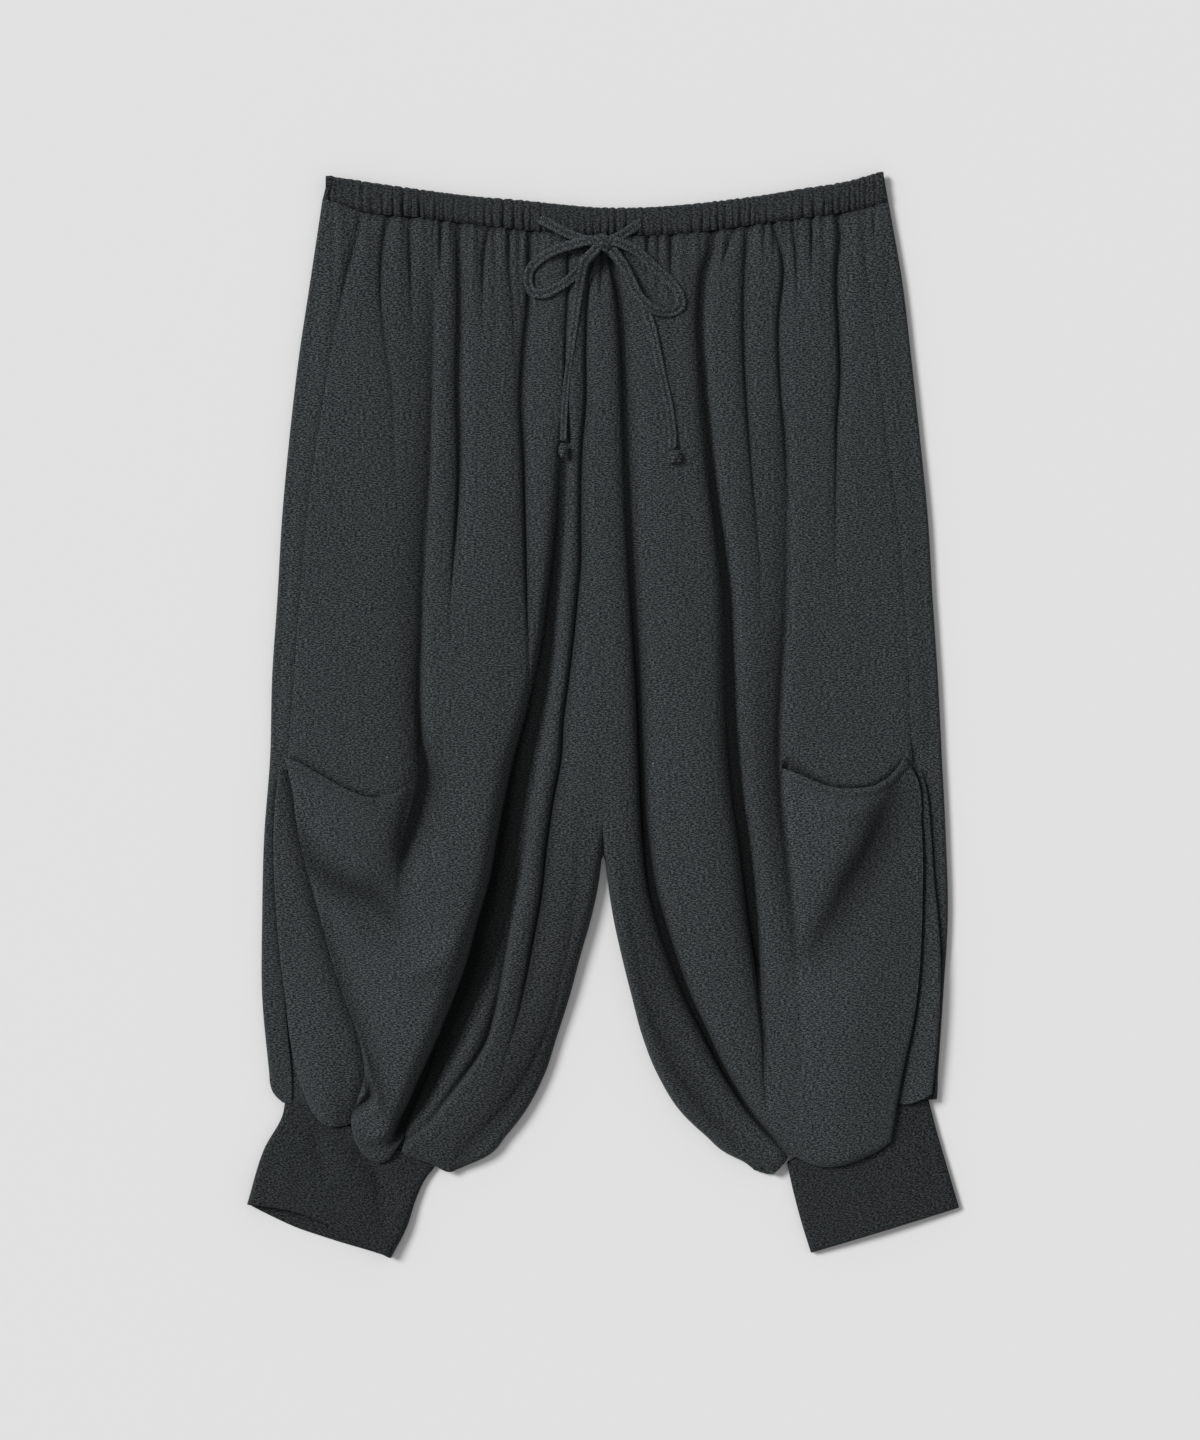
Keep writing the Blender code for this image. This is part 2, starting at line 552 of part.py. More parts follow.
def back_leg(side, name):
    """The back of one leg: flat on the surface, round the outer fold and up to the side seam."""
    rows = []
    for y, y_inner in zip(*leg_rows(side)):
        edge = float(at_stations(OUTER[side], y))
        bend = edge - side * ROLL / 2
        start = float(inseam(side, np.float64(y_inner)))
        row = []
        for part in np.linspace(0, 1, BACK_COLUMNS):
            row.append((start + (bend - start) * part, y_inner + (y - y_inner) * part, 0.0))
        for step in range(1, ROLL_STEPS):
            angle = math.pi * step / ROLL_STEPS
            x = bend + side * math.sin(angle) * ROLL / 2
            row.append((x, y, (1 - math.cos(angle)) * ROLL / 2))
        seam = float(at_stations(SIDE_SEAM[side], y)) + side * GAP / 2
        for part in np.linspace(0, 1, WRAP_COLUMNS):
            row.append((bend + (seam - bend) * part, y, ROLL))
        rows.append(row)
    grid = np.array(rows)
    grid[..., :2] = sag_at_waist(grid[..., :2])
    top = slice(-WRAP_COLUMNS, None)
    wrapped = body_height(grid[:, top, 0], grid[:, top, 1])
    near_seam = smooth_step(np.linspace(0, 1.5, WRAP_COLUMNS))
    above_mouth = smooth_step((grid[:, top, 1] - WRAP_ENDS) / WRAP_BLEND)
    grid[:, top, 2] = ROLL + (wrapped - ROLL) * near_seam * above_mouth
    upright = np.zeros(grid.shape[:2], bool)
    upright[:, -1] = True
    return cloth_object(name, grid, WALL, "leg", 0.0, upright)


def waistband_front():
    """The front of the gathered waistband, between the two side seams."""
    columns = 2 * GATHERS + 1
    x = np.linspace(BAND_SEAM[LEFT] + GAP / 2, BAND_SEAM[RIGHT] - GAP / 2, columns)
    index = np.arange(columns)
    uneven = 1 + 0.35 * np.sin(index * 2.4) + 0.2 * np.sin(index * 0.77)
    zigzag = np.where(index % 2 == 0, -1.0, 1.0) * uneven
    low = waist_seam(x) + GAP
    high = read_curve(BAND_X, BAND_Y, x) + BAND_KNOBS * zigzag
    grid = []
    for row in BAND_ROWS:
        z = BAND_HIGH + row.rise + GATHER_RISE * row.gather * zigzag
        grid.append(np.column_stack([x, low + (high - low) * row.part, z]))
    return cloth_object("waistband_front", np.stack(grid), BAND_WALL, "waistband")


def band_section():
    """The x and z of the band's back all along: over one end, across, and over the other."""
    top = 2 * BAND_ROLL
    flat = np.linspace(BAND_BEND[LEFT], BAND_BEND[RIGHT], 14)[1:-1]
    seams = {side: BAND_SEAM[side] + side * GAP / 2 for side in (LEFT, RIGHT)}
    shares = (0, 0.33, 0.66)
    ends = {side: [(seams[side] + (BAND_BEND[side] - seams[side]) * share, top) for share in shares]
            for side in (LEFT, RIGHT)}
    for side in (LEFT, RIGHT):
        for step in range(ROLL_STEPS + 1):
            angle = math.pi * step / ROLL_STEPS
            x = BAND_BEND[side] + side * math.sin(angle) * BAND_ROLL
            ends[side].append((x, (1 + math.cos(angle)) * BAND_ROLL))
    return np.array(ends[LEFT] + [(x, 0.0) for x in flat] + ends[RIGHT][::-1])


def waistband_back():
    """The back of the waistband, flat on the surface and round both ends to the side seams."""
    section = band_section()
    x = section[:, 0]
    lean = np.where(x < BAND_BEND[LEFT], BAND_LEAN, 0) - np.where(x > BAND_BEND[RIGHT], BAND_LEAN, 0)
    low = waist_seam(x) + GAP
    high = read_curve(BAND_X, BAND_Y, x)
    grid = [np.column_stack([x + lean * part, low + (high - low) * part, section[:, 1]])
            for part in (0, 0.5, 1)]
    return cloth_object("waistband_back", np.stack(grid), BAND_WALL, "waistband")


def pouch(side, name):
    """A balloon pouch: its upper edge is the pocket's mouth, and its foot hangs over the cuff."""
    v = np.linspace(0, 1, POUCH_ROWS) ** 0.95
    outer_edge = along(POUCH_OUTER[side], v)
    inner_edge = along(POUCH_INNER[side], v)
    beside_leg = inner_edge[:, 1] > BESIDE_LEG[side]
    seam = at_stations(POUCH_SEAM[side], inner_edge[:, 1]) + side * STEP_CLEAR
    inner_edge[beside_leg, 0] = seam[beside_leg]
    u = (1 - np.cos(np.linspace(0, 1, POUCH_COLUMNS) ** 0.9 * math.pi * 0.5)) ** 0.9
    steps = np.linspace(0, 1, len(MOUTH_DROP[side]))
    grid = outer_edge[:, None] + (inner_edge - outer_edge)[:, None] * u[None, :, None]
    at_mouth = (1 - smooth_step(v / 0.3))[:, None]
    at_bottom = smooth_step((v - 0.72) / 0.28)[:, None]
    grid[..., 1] -= read_curve(steps, MOUTH_DROP[side], u)[None] * at_mouth
    grid[..., 1] -= read_curve(steps, BOTTOM_DROP[side], u)[None] * at_bottom
    x, y = grid[..., 0], grid[..., 1]
    height = body_height(x, y)
    for drape in DRAPES:
        height = height + drape_rise(drape, x, y)
    outer_half = (1 - smooth_step((u - 0.35) / 0.6))[None]
    upper_half = (1 - smooth_step(v / 0.5))[:, None]
    height = height + POUCH_LIFT * outer_half * upper_half
    height = np.maximum(height, POUCH_LOW + WALL + EDGE)
    across = np.linalg.norm(grid - grid[:, :1], axis=-1)
    upward = np.linalg.norm(grid - grid[-1:], axis=-1)
    above_foot = 1 - smooth_step((v - 0.6) / 0.3)
    low = POUCH_LOW + FOOT_LIFT * above_foot[:, None] * np.ones_like(height)
    height = turned_down(height, low + EDGE, across, POUCH_ROUND)
    height = turned_down(height, low + EDGE, upward, FOOT_ROUND)
    outer = np.concatenate([grid, height[..., None]], axis=-1)
    upright = np.zeros(height.shape, bool)
    upright[:, -1] = True
    return cloth_object(name, outer, WALL, "pouch", low, upright)


def folded_side(side, name):
    """The folded side of the leg that shows beside the pouch and goes under it."""
    v = np.linspace(0, 1, SIDE_ROWS)
    outer_edge = along(SIDE_OUTER[side], v)
    inner_edge = along(SIDE_INNER[side], v)
    u = np.array(SIDE_COLUMNS)
    grid = outer_edge[:, None] + (inner_edge - outer_edge)[:, None] * u[None, :, None]
    steps = np.linspace(0, 1, len(SIDE_BOTTOM_DROP[side]))
    at_bottom = smooth_step((v - 0.7) / 0.3)[:, None]
    grid[..., 1] -= read_curve(steps, SIDE_BOTTOM_DROP[side], u)[None] * at_bottom
    bulge = SIDE_BULGE[side] * np.sin(np.clip(u / 0.62, 0, 1) * math.pi)[None]
    height = SIDE_HIGH + bulge * smooth_step((v - 0.5) / 0.5)[:, None]
    across = np.linalg.norm(grid - grid[:, :1], axis=-1)
    height = turned_down(height, SIDE_LOW + EDGE, across, SIDE_ROUND)
    outer = np.concatenate([grid, height[..., None]], axis=-1)
    return cloth_object(name, outer, WALL - 0.2, "pouch", SIDE_LOW)


def cuff_grid(side, hem_drop, columns):
    """The laid outline of a cuff as a grid of x and y."""
    v = np.linspace(0, 1, CUFF_ROWS)
    outer_edge = along(CUFF_OUTER[side], v)
    inner_edge = along(CUFF_INNER[side], v)
    grid = outer_edge[:, None] + (inner_edge - outer_edge)[:, None] * columns[None, :, None]
    steps = np.linspace(0, 1, len(hem_drop))
    grid[..., 1] -= read_curve(steps, hem_drop, columns)[None] * v[:, None] ** 1.5
    return grid


def cuff_front(side, name):
    """The front of a cuff: it bows up between its two folded edges."""
    u = (1 - np.cos(np.linspace(0, 1, CUFF_COLUMNS) * math.pi)) / 2
    grid = cuff_grid(side, FRONT_HEM_DROP[side], u)
    v = np.linspace(0, 1, CUFF_ROWS)
    high = CUFF_HIGH[side][0] + (CUFF_HIGH[side][1] - CUFF_HIGH[side][0]) * v
    from_ends = np.minimum(np.linalg.norm(grid - grid[:, :1], axis=-1),
                           np.linalg.norm(grid - grid[:, -1:], axis=-1))
    height = high[:, None] * (1 - CUFF_CROWN * (1 - np.sin(math.pi * u)[None]))
    height = turned_down(height, CUFF_WALL + GAP + EDGE, from_ends, CUFF_ROUND)
    outer = np.concatenate([grid, height[..., None]], axis=-1)
    return cloth_object(name, outer, CUFF_WALL, "cuff", CUFF_WALL + GAP)


def cuff_back(side, name):
    """The back of a cuff, flat on the surface."""
    grid = cuff_grid(side, BACK_HEM_DROP[side], np.linspace(0, 1, CUFF_BACK_COLUMNS))
    outer = np.concatenate([grid, np.full(grid.shape[:2] + (1,), CUFF_WALL)], axis=-1)
    return cloth_object(name, outer, CUFF_WALL, "cuff")


def tie_stretch(name, route):
    """One stretch of the tie as a plain tube with filled ends."""
    points = np.asarray(route, float)
    length = np.linalg.norm(np.diff(points, axis=0), axis=1).sum()
    path = along(points, np.linspace(0, 1, max(3, round(length / TIE_STEP) + 1)))
    curve = bpy.data.curves.new(name, "CURVE")
    curve.dimensions = "3D"
    curve.bevel_depth = TIE_RADIUS * MM
    curve.bevel_resolution = 2
    curve.use_fill_caps = True
    spline = curve.splines.new("POLY")
    spline.points.add(len(path) - 1)
    for point, place in zip(spline.points, path * MM):
        point.co = (*place, 1.0)
    curve.materials.append(cloth_material(name, "tie"))
    piece = bpy.data.objects.new(name, curve)
    bpy.context.scene.collection.objects.link(piece)
    return piece


def knot(name, centre, size):
    """A pulled knot: a small pillow of the tie's own cloth."""
    mesh = bpy.data.meshes.new(name)
    shape = bmesh.new()
    bmesh.ops.create_icosphere(shape, subdivisions=2, radius=0.5)
    for vertex in shape.verts:
        for axis in range(3):
            share = abs(vertex.co[axis]) * 2
            reach = math.copysign(share ** KNOT_FULLNESS / 2, vertex.co[axis])
            vertex.co[axis] = (centre[axis] + reach * size[axis]) * MM
    shape.to_mesh(mesh)
    shape.free()
    mesh.materials.append(cloth_material(name, "tie"))
    piece = bpy.data.objects.new(name, mesh)
    bpy.context.scene.collection.objects.link(piece)
    return piece


def clear_scene():
    """Removes what the scene holds."""
    for item in list(bpy.data.objects):
        bpy.data.objects.remove(item, do_unlink=True)


def build():
    """Makes every piece of the garment."""
    clear_scene()
    waistband_front()
    waistband_back()
    for side, word in ((LEFT, "left"), (RIGHT, "right")):
        front_leg(side, f"front_{word}")
        back_leg(side, f"back_{word}")
        pouch(side, f"pocket_{word}")
        folded_side(side, f"side_{word}")
        cuff_front(side, f"cuff_{word}_front")
        cuff_back(side, f"cuff_{word}_back")
    for name, route in TIE_ROUTES.items():
        tie_stretch(name, route)
    knot("tie_knot", **KNOT)
    for name, place in END_KNOTS.items():
        knot(name, **place)


build()
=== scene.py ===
"""Balloon pants in charcoal jersey, laid flat on their back: the finish of every piece.

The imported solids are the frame. Each piece of cloth is made here again with its fine folds,
gathers, sewing and knit, in the place of its solid. Lengths in the tables are in millimetres:
x to the right of the garment as it lies, y to the waist, z up from the surface.
"""

import math
from collections import namedtuple

import bpy
import numpy as np
from bpy.props import FloatProperty, FloatVectorProperty, PointerProperty
from bpy.types import Operator, Panel, PropertyGroup
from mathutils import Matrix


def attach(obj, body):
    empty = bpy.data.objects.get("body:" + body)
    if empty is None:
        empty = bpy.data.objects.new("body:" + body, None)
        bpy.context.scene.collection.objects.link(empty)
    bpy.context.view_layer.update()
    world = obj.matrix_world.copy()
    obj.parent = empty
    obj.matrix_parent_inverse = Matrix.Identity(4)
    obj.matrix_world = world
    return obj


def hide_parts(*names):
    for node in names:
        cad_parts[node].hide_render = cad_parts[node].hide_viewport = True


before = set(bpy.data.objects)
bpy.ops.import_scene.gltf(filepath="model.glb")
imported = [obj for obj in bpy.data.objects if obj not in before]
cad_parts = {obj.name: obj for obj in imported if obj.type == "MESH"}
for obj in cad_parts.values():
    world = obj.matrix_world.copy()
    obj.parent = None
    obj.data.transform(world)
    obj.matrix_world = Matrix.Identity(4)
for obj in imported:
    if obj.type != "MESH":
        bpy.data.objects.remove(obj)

bl_info = {
    "name": "Balloon Pants",
    "version": (1, 0, 0),
    "blender": (4, 5, 0),
    "location": "View3D > Sidebar > Garment",
    "description": "Dresses the laid balloon pants in gathered charcoal jersey",
    "category": "Object",
}

MM = 0.001
LEFT = -1
RIGHT = 1
WORDS = {LEFT: "left", RIGHT: "right"}

# Heights of the layers, in millimetres
GAP = 0.3
UNDER = 2.3
FLOOR = 4.4
FLOOR_BLEND = 0.6

# The outer fold, the crown of the laid cloth and the waist
ROLL = 7.0
EDGE_REACH = 34.0
CREST_Y = (390, 330, 270, 210, 150, 90, 30, -30, -90, -150, -210, -270, -330, -390)
CREST = (7.6, 9.6, 10.2, 10.6, 11.0, 11.6, 12.6, 13.6, 14.6, 15.0, 15.4, 15.0, 12.0, 9.0)
SEAM_DIP = 2.2
SEAM_DIP_LONG = 5.0
TOP = 390.0
SAG_FADE = 95.0

# The inseam and the crotch
CROTCH_START = -74.0
CROTCH_END = -116.0
INSEAM_ROUND = 8.0
INSEAM_Y = (-105, -120, -150, -180, -210, -240, -270, -300, -315, -330, -341)
INSEAM_X = {
    LEFT: (1.0, 2.5, 8.5, 17, 25, 34.5, 44.5, 61, 73, 87, 112),
    RIGHT: (1.5, 3.0, 7.5, 14, 21.5, 29.5, 41.5, 61, 77, 96, 126),
}

# Edges of the laid garment: x for each station, the first at y = 390 and each next 60 lower
PITCH = 60.0
OUTER = {
    LEFT: (-211, -220, -229, -236, -241.5, -245, -249, -250.5, -255, -256.5, -256.5, -251),
    RIGHT: (215, 225, 232, 238.5, 244.5, 248, 252, 255, 258, 259.5, 256, 252),
}
SIDE_SEAM = {
    LEFT: (-180, -194, -205.5, -215, -223, -228, -232.5, -237, -240, -240, -239, -234),
    RIGHT: (192, 199, 206, 213, 221, 226, 229.5, 232, 241, 242, 240, 236),
}
POUCH_SEAM = {
    LEFT: (-128, -128, -128, -130, -132, -136, -137, -134, -122, -110.5, -117, -133, -152),
    RIGHT: (134, 134, 134, 134, 134, 134, 134, 134, 136, 142, 146, 148, 146),
}

# The waist: the lower seam and the upper edge of the band, y for each x
SEAM_X = (-211, -181, -134, -100, -49, -2, 28, 73, 106, 158, 178, 215)
SEAM_Y = (390, 380, 375, 370.5, 365, 361.5, 361.5, 364.5, 369, 376, 378.5, 387)
BAND_X = (-208, -182, -152, -122, -92, -62, -32, -2,
          28, 58, 88, 118, 148, 178, 193, 208)
BAND_Y = (403.5, 400, 395.5, 391.5, 388, 385.5, 382.5, 380,
          380, 382, 385, 389, 394, 398.5, 402, 406.5)
BAND_SEAM = {LEFT: -181.5, RIGHT: 192.5}
BAND_BEND = {LEFT: -207.0, RIGHT: 211.0}
BAND_ROLL = 3.8
BAND_LEAN = 3.5
BAND_HIGH = 7.9

# Long folds. Each point of a path is y, x, rise, and the widths of the fold's left and right
# side; a rise below 0 is a valley. floor is the half width of a valley's flat bottom as a share
# of its depth, and shape is 1 for a sharp crease and 2 for a soft one.
Fold = namedtuple("Fold", "name floor shape path")
FOLDS = (
    Fold("left gather 1", 0, 1.3, (
        (379, -181.5, -2.5, 5, 5), (358, -186, -2.5, 5, 5), (328, -194, -1.6, 6, 5),
        (290, -199, -0.6, 6, 5), (260, -202, 0, 6, 5))),
    Fold("left gather 2", 0, 1.3, (
        (377, -162, -3.6, 4.5, 4.5), (350, -166, -3.2, 4.5, 4.5), (320, -167, -2.2, 5, 5),
        (283, -163.5, -1.3, 6, 5), (238, -157.5, -1, 7, 5), (208, -157, -0.8, 8, 5),
        (148, -152, 0, 8, 6))),
    Fold("left gather 3", 0, 1.3, (
        (376, -146, -3.4, 4, 4), (350, -145, -2.8, 4, 4), (320, -144, -1.5, 4.5, 4.5),
        (275, -143, 0, 5, 5))),
    Fold("left gather 4", 0, 1.3, (
        (374, -122, -3.2, 3.5, 3.5), (346.5, -122, -1.6, 4, 4), (324, -122, 0, 4, 4))),
    Fold("left soft hollow", 0, 1.5, (
        (350, -127, -0.5, 22, 4), (313, -127.5, -2.4, 24, 3.5), (238, -129, -3.8, 26, 3.5),
        (178, -131, -4.4, 26, 3.5), (118, -135, -4.8, 26, 4), (58, -137, -5.6, 26, 4),
        (13, -138, -6.4, 24, 4.5), (-17, -136.5, -7, 20, 5), (-47, -134, -8.5, 17, 5),
        (-70, -139.5, -8.5, 14, 6), (-92, -147, -7, 12, 9), (-122, -152, -3, 12, 12),
        (-152, -152, 0, 12, 12))),
    Fold("left crease", 0, 1.2, (
        (368, -109, -5, 4, 4), (313, -108, -6, 4.5, 5), (238, -109, -6.2, 4.5, 5),
        (208, -108, -5.8, 5, 5), (163, -109, -4.8, 6, 5), (133, -111, -3.2, 7, 6),
        (103, -113, -1.8, 8, 6), (50, -115, 0, 8, 6))),
    Fold("left gather 5", 0, 1.3, (
        (371, -85, -3.4, 4, 4), (350, -89, -2.8, 4, 4), (320, -90, -1.6, 4, 4),
        (275, -90, 0, 5, 5))),
    Fold("left gather 6", 0, 1.3, (
        (371, -70, -3.4, 4, 4), (350, -70.5, -2.4, 4, 4), (301.5, -67, -1.2, 4, 4),
        (260, -66, 0, 5, 5))),
    Fold("left inner crease", 0, 1.2, (
        (367, -55, -4.6, 4.5, 4.5), (344, -55, -4.8, 4.5, 4.5), (320, -55.5, -5.2, 4.5, 5),
        (268, -60, -5.4, 4.5, 6), (238, -61.5, -5.4, 5, 6), (208, -60, -5.2, 5, 6),
        (148, -58.5, -4.4, 7, 6), (88, -57, -3.2, 9, 7), (43, -55.5, -1.4, 10, 7),
        (-2, -56, 0, 10, 7))),
    Fold("left gather 7", 0, 1.3, (
        (364, -26, -3.2, 4, 4), (335, -26, -2.8, 4, 4), (275, -28, -2.2, 4, 4),
        (223, -28, -1.6, 4, 4), (200, -28.5, -1, 4, 4), (178, -28.5, 0, 4, 4))),
    Fold("left main valley", 0.42, 1.5, (
        (238, -26, 0, 4, 4), (215, -28, -3, 4, 4), (185, -30, -5, 4, 4), (148, -32, -6.2, 4, 4),
        (118, -34.5, -7, 4, 4), (88, -37.5, -8, 4, 4), (58, -40.5, -9, 4.5, 4.5),
        (28, -45, -11, 5, 5), (-2, -51, -13, 5.5, 5), (-32, -58, -15, 6, 5),
        (-62, -64, -16.5, 6, 5), (-92, -69, -18, 6, 5), (-122, -74, -19, 6, 5.5),
        (-152, -82, -20, 6, 6), (-182, -90, -20, 6, 6), (-212, -101, -19, 6, 6),
        (-242, -114, -18, 6, 6), (-272, -129, -16, 6, 6), (-287, -136.5, -14, 6, 6),
        (-306, -148.5, -10, 6, 6), (-325, -161, 0, 6, 6))),
    Fold("left valley step", 0, 1.5, (
        (-77, -55, 0, 10, 2), (-122, -64, -3.5, 11, 2.2), (-160, -71, -5, 13, 2.4),
        (-197, -77, -5.6, 16, 2.4), (-227, -83, -6, 18, 2.4), (-246, -89, -6, 18, 2.4),
        (-265, -101, -5.8, 16, 2.4), (-280, -112.5, -5.4, 14, 2.4), (-295, -124, -5, 12, 2.4),
        (-306, -133, -4.6, 10, 2.4), (-317, -147, -4, 10, 2.6), (-332, -158, 0, 10, 3))),
    Fold("left thigh crease", 0, 1.3, (
        (350, -8, -2, 4, 4), (335, -10, -2.8, 4, 4), (275, -13, -3.8, 4.5, 5),
        (238, -13, -4, 4.5, 6), (200, -16, -4.2, 5, 7), (148, -17, -4.2, 5, 8),
        (118, -17, -4.2, 5, 8), (88, -19.5, -4.2, 5, 8), (58, -22.5, -4.2, 5, 8),
        (28, -26, -4.2, 5, 8), (-2, -30, -4.4, 5, 8), (-32, -32, -4.6, 5, 9),
        (-62, -37.5, -4.8, 5.5, 10), (-92, -42, -5, 6, 11), (-137, -47, -5, 7, 12),
        (-167, -52.5, -4.6, 8, 13), (-197, -58, -3.8, 9, 14), (-227, -64.5, -2.4, 9, 14),
        (-257, -73, -1, 9, 14), (-287, -81, 0, 9, 14))),
    Fold("left lobe", 0, 2, (
        (208, -94, 0, 34, 22), (148, -91, 0.8, 36, 22), (88, -88.5, 1.6, 38, 22),
        (13, -87, 3, 40, 22), (-47, -87, 5, 40, 20), (-92, -91, 6.5, 42, 20),
        (-137, -100, 7.5, 44, 20), (-182, -118, 8, 46, 20), (-227, -134, 8.2, 46, 20),
        (-272, -149, 8, 40, 20), (-310, -164, 6.5, 34, 20), (-340, -170, 2, 30, 20))),
    Fold("left inner leg", 0, 2, (
        (-17, -11, 0, 30, 22), (-62, -14, -0.8, 34, 26), (-122, -19, -2.2, 38, 28),
        (-182, -28, -3.4, 40, 30), (-242, -44, -4.4, 42, 30), (-287, -70, -4.6, 40, 30),
        (-332, -111, -3, 36, 30))),
    Fold("centre gather", 0, 1.3, (
        (350, -1, -3, 4, 4), (331.5, -1, -2, 4, 4), (305, -1, 0, 4, 4))),
    Fold("centre crease", 0.15, 1.2, (
        (352, 4.5, -3.5, 4, 4), (339, 7, -4.8, 4, 5), (320, 11, -5.4, 4, 6),
        (298, 13.5, -5.8, 4, 7), (268, 15, -6, 4, 8), (208, 17, -6.2, 4.5, 9),
        (148, 19.5, -6.6, 5, 9), (88, 22.5, -6.8, 5, 9), (28, 26, -7, 5.5, 9),
        (-32, 28.5, -7.4, 6, 8), (-92, 32, -8.2, 7, 7), (-130, 37.5, -9, 9, 6),
        (-152, 43.5, -9.4, 11, 6), (-175, 51, -9.2, 13, 5.5), (-212, 65, -8.4, 15, 5),
        (-235, 76, -8, 15, 5), (-250, 83, -7.4, 14, 5), (-276, 97, -6.6, 12, 5),
        (-298.5, 112, -5.4, 9, 5), (-319, 130, -3.6, 7, 5), (-336, 144, 0, 7, 5))),
    Fold("right gather 1", 0, 1.3, (
        (364, 34, -3, 3.5, 3.5), (349, 34, -1.8, 4, 4), (324, 34, 0, 4, 4))),
    Fold("right gather 2", 0, 1.3, (
        (365, 51, -3.2, 3.5, 3.5), (346.5, 51, -2, 4, 4), (313, 51, 0, 4, 4))),
    Fold("right main valley", 0.24, 1.3, (
        (367, 82.5, -4.4, 4, 4), (350, 81, -5.2, 4, 4), (335, 76.5, -5.8, 4, 4),
        (313, 74, -6.2, 4, 4), (290, 73.5, -6.4, 4, 4), (268, 75, -6.6, 4, 4),
        (238, 77, -7, 4.5, 4), (208, 80, -7.2, 5, 4), (178, 83, -7.6, 5, 4),
        (148, 87, -8, 5, 4.5), (118, 91, -8.6, 5, 4.5), (88, 94, -9.4, 5, 4.5),
        (58, 95, -10, 5, 4.5), (28, 96, -10.8, 5.5, 4.5), (-2, 97, -11.4, 5.5, 4.5),
        (-32, 99, -12, 5.5, 5), (-62, 102, -12, 5.5, 5), (-92, 106.5, -12, 5.5, 5),
        (-122, 110, -11.6, 6, 5), (-152, 113, -10.4, 7, 6), (-180, 115.5, -7.4, 8, 7),
        (-212, 118, -4.4, 9, 8), (-242, 121, -3.2, 9, 8), (-272, 121.5, -1.8, 9, 8),
        (-306, 124, 0, 9, 8))),
    Fold("right gather 3", 0, 1.3, (
        (367, 99, -3, 3.5, 3.5), (346.5, 91.5, -1.8, 4, 4), (328, 89, 0, 4, 4))),
    Fold("right crease", 0, 1.3, (
        (368, 109, -3.6, 3.5, 4), (343, 107, -3.2, 4, 5), (280, 106, -3.6, 4.5, 6),
        (223, 109, -3, 5, 7), (163, 114, -2, 6, 8), (118, 118, -1.2, 7, 8), (58, 119, 0, 8, 8))),
    Fold("right soft hollow", 0, 1.5, (
        (238, 135, 0, 14, 4), (208, 137, -1.6, 16, 4), (163, 138, -2.8, 20, 4),
        (118, 138, -3.6, 24, 4.5), (73, 137, -4.2, 26, 4.5), (28, 134, -5, 27, 4.5),
        (-17, 132, -5.4, 27, 4.5), (-55, 133, -5.4, 26, 4.5), (-92, 137, -5, 24, 4.5),
        (-122, 140, -4.4, 22, 5), (-152, 142.5, -3.2, 20, 6), (-182, 145, -1.6, 18, 8),
        (-212, 145.5, 0, 16, 8))),
    Fold("right gather 4", 0, 1.2, (
        (371, 127.5, -3.8, 4, 4), (343, 135, -3.6, 4, 4), (298, 132, -3.4, 4, 5),
        (253, 133, -3.2, 4.5, 5), (208, 137, -2.4, 5, 5), (163, 139.5, -0.8, 5, 5),
        (140, 139.5, 0, 5, 5))),
    Fold("right gather 5", 0, 1.3, (
        (373, 142.5, -3.2, 3.5, 3.5), (339, 145.5, -2, 4, 4), (305, 146, 0, 4, 4))),
    Fold("right gather 6", 0, 1.3, (
        (374, 157, -3.2, 3.5, 3.5), (354, 157, -2, 4, 4), (324, 157, 0, 4, 4))),
    Fold("right side crease", 0, 1.2, (
        (379, 175.5, -4.4, 4, 4), (361.5, 178.5, -4.4, 4, 4), (343, 176, -4.6, 4, 4.5),
        (320, 175.5, -4.6, 4, 5), (290, 177, -4.4, 4, 5), (253, 178, -4, 4.5, 5),
        (223, 176, -3.2, 5, 5), (193, 175.5, -2.4, 5, 6), (148, 175, -1.6, 6, 6),
        (88, 175, 0, 7, 7))),
    Fold("right gather 7", 0, 1.3, (
        (385, 204, -2.6, 3, 3), (369, 204, -1.6, 3, 3), (350, 205, 0, 3, 3))),
    Fold("right lobe", 0, 2, (
        (223, 46, 0, 16, 14), (148, 50, 0.8, 16, 15), (73, 59, 1.4, 17, 16),
        (-17, 67.5, 2.2, 18, 16), (-92, 75, 2.6, 19, 17), (-152, 85, 2.4, 20, 18),
        (-212, 99, 1.8, 20, 20), (-272, 118, 0.6, 20, 20), (-317, 133, 0, 20, 20))),
    Fold("right pouch", 0, 2, (
        (-17, 180, 0.5, 34, 34), (-62, 183, 3, 38, 36), (-122, 185, 5.5, 42, 38),
        (-182, 187, 7, 44, 38), (-242, 184, 7.5, 44, 38), (-302, 179, 7, 40, 36),
        (-340, 176, 4, 38, 34))),
    Fold("right inner leg", 0, 2, (
        (-77, 11, 0, 18, 24), (-122, 17, -1.5, 22, 28), (-182, 26, -2.8, 24, 30),
        (-242, 44, -3.6, 24, 30), (-287, 70, -3.6, 24, 30), (-332, 112, -1.6, 24, 30))),
)

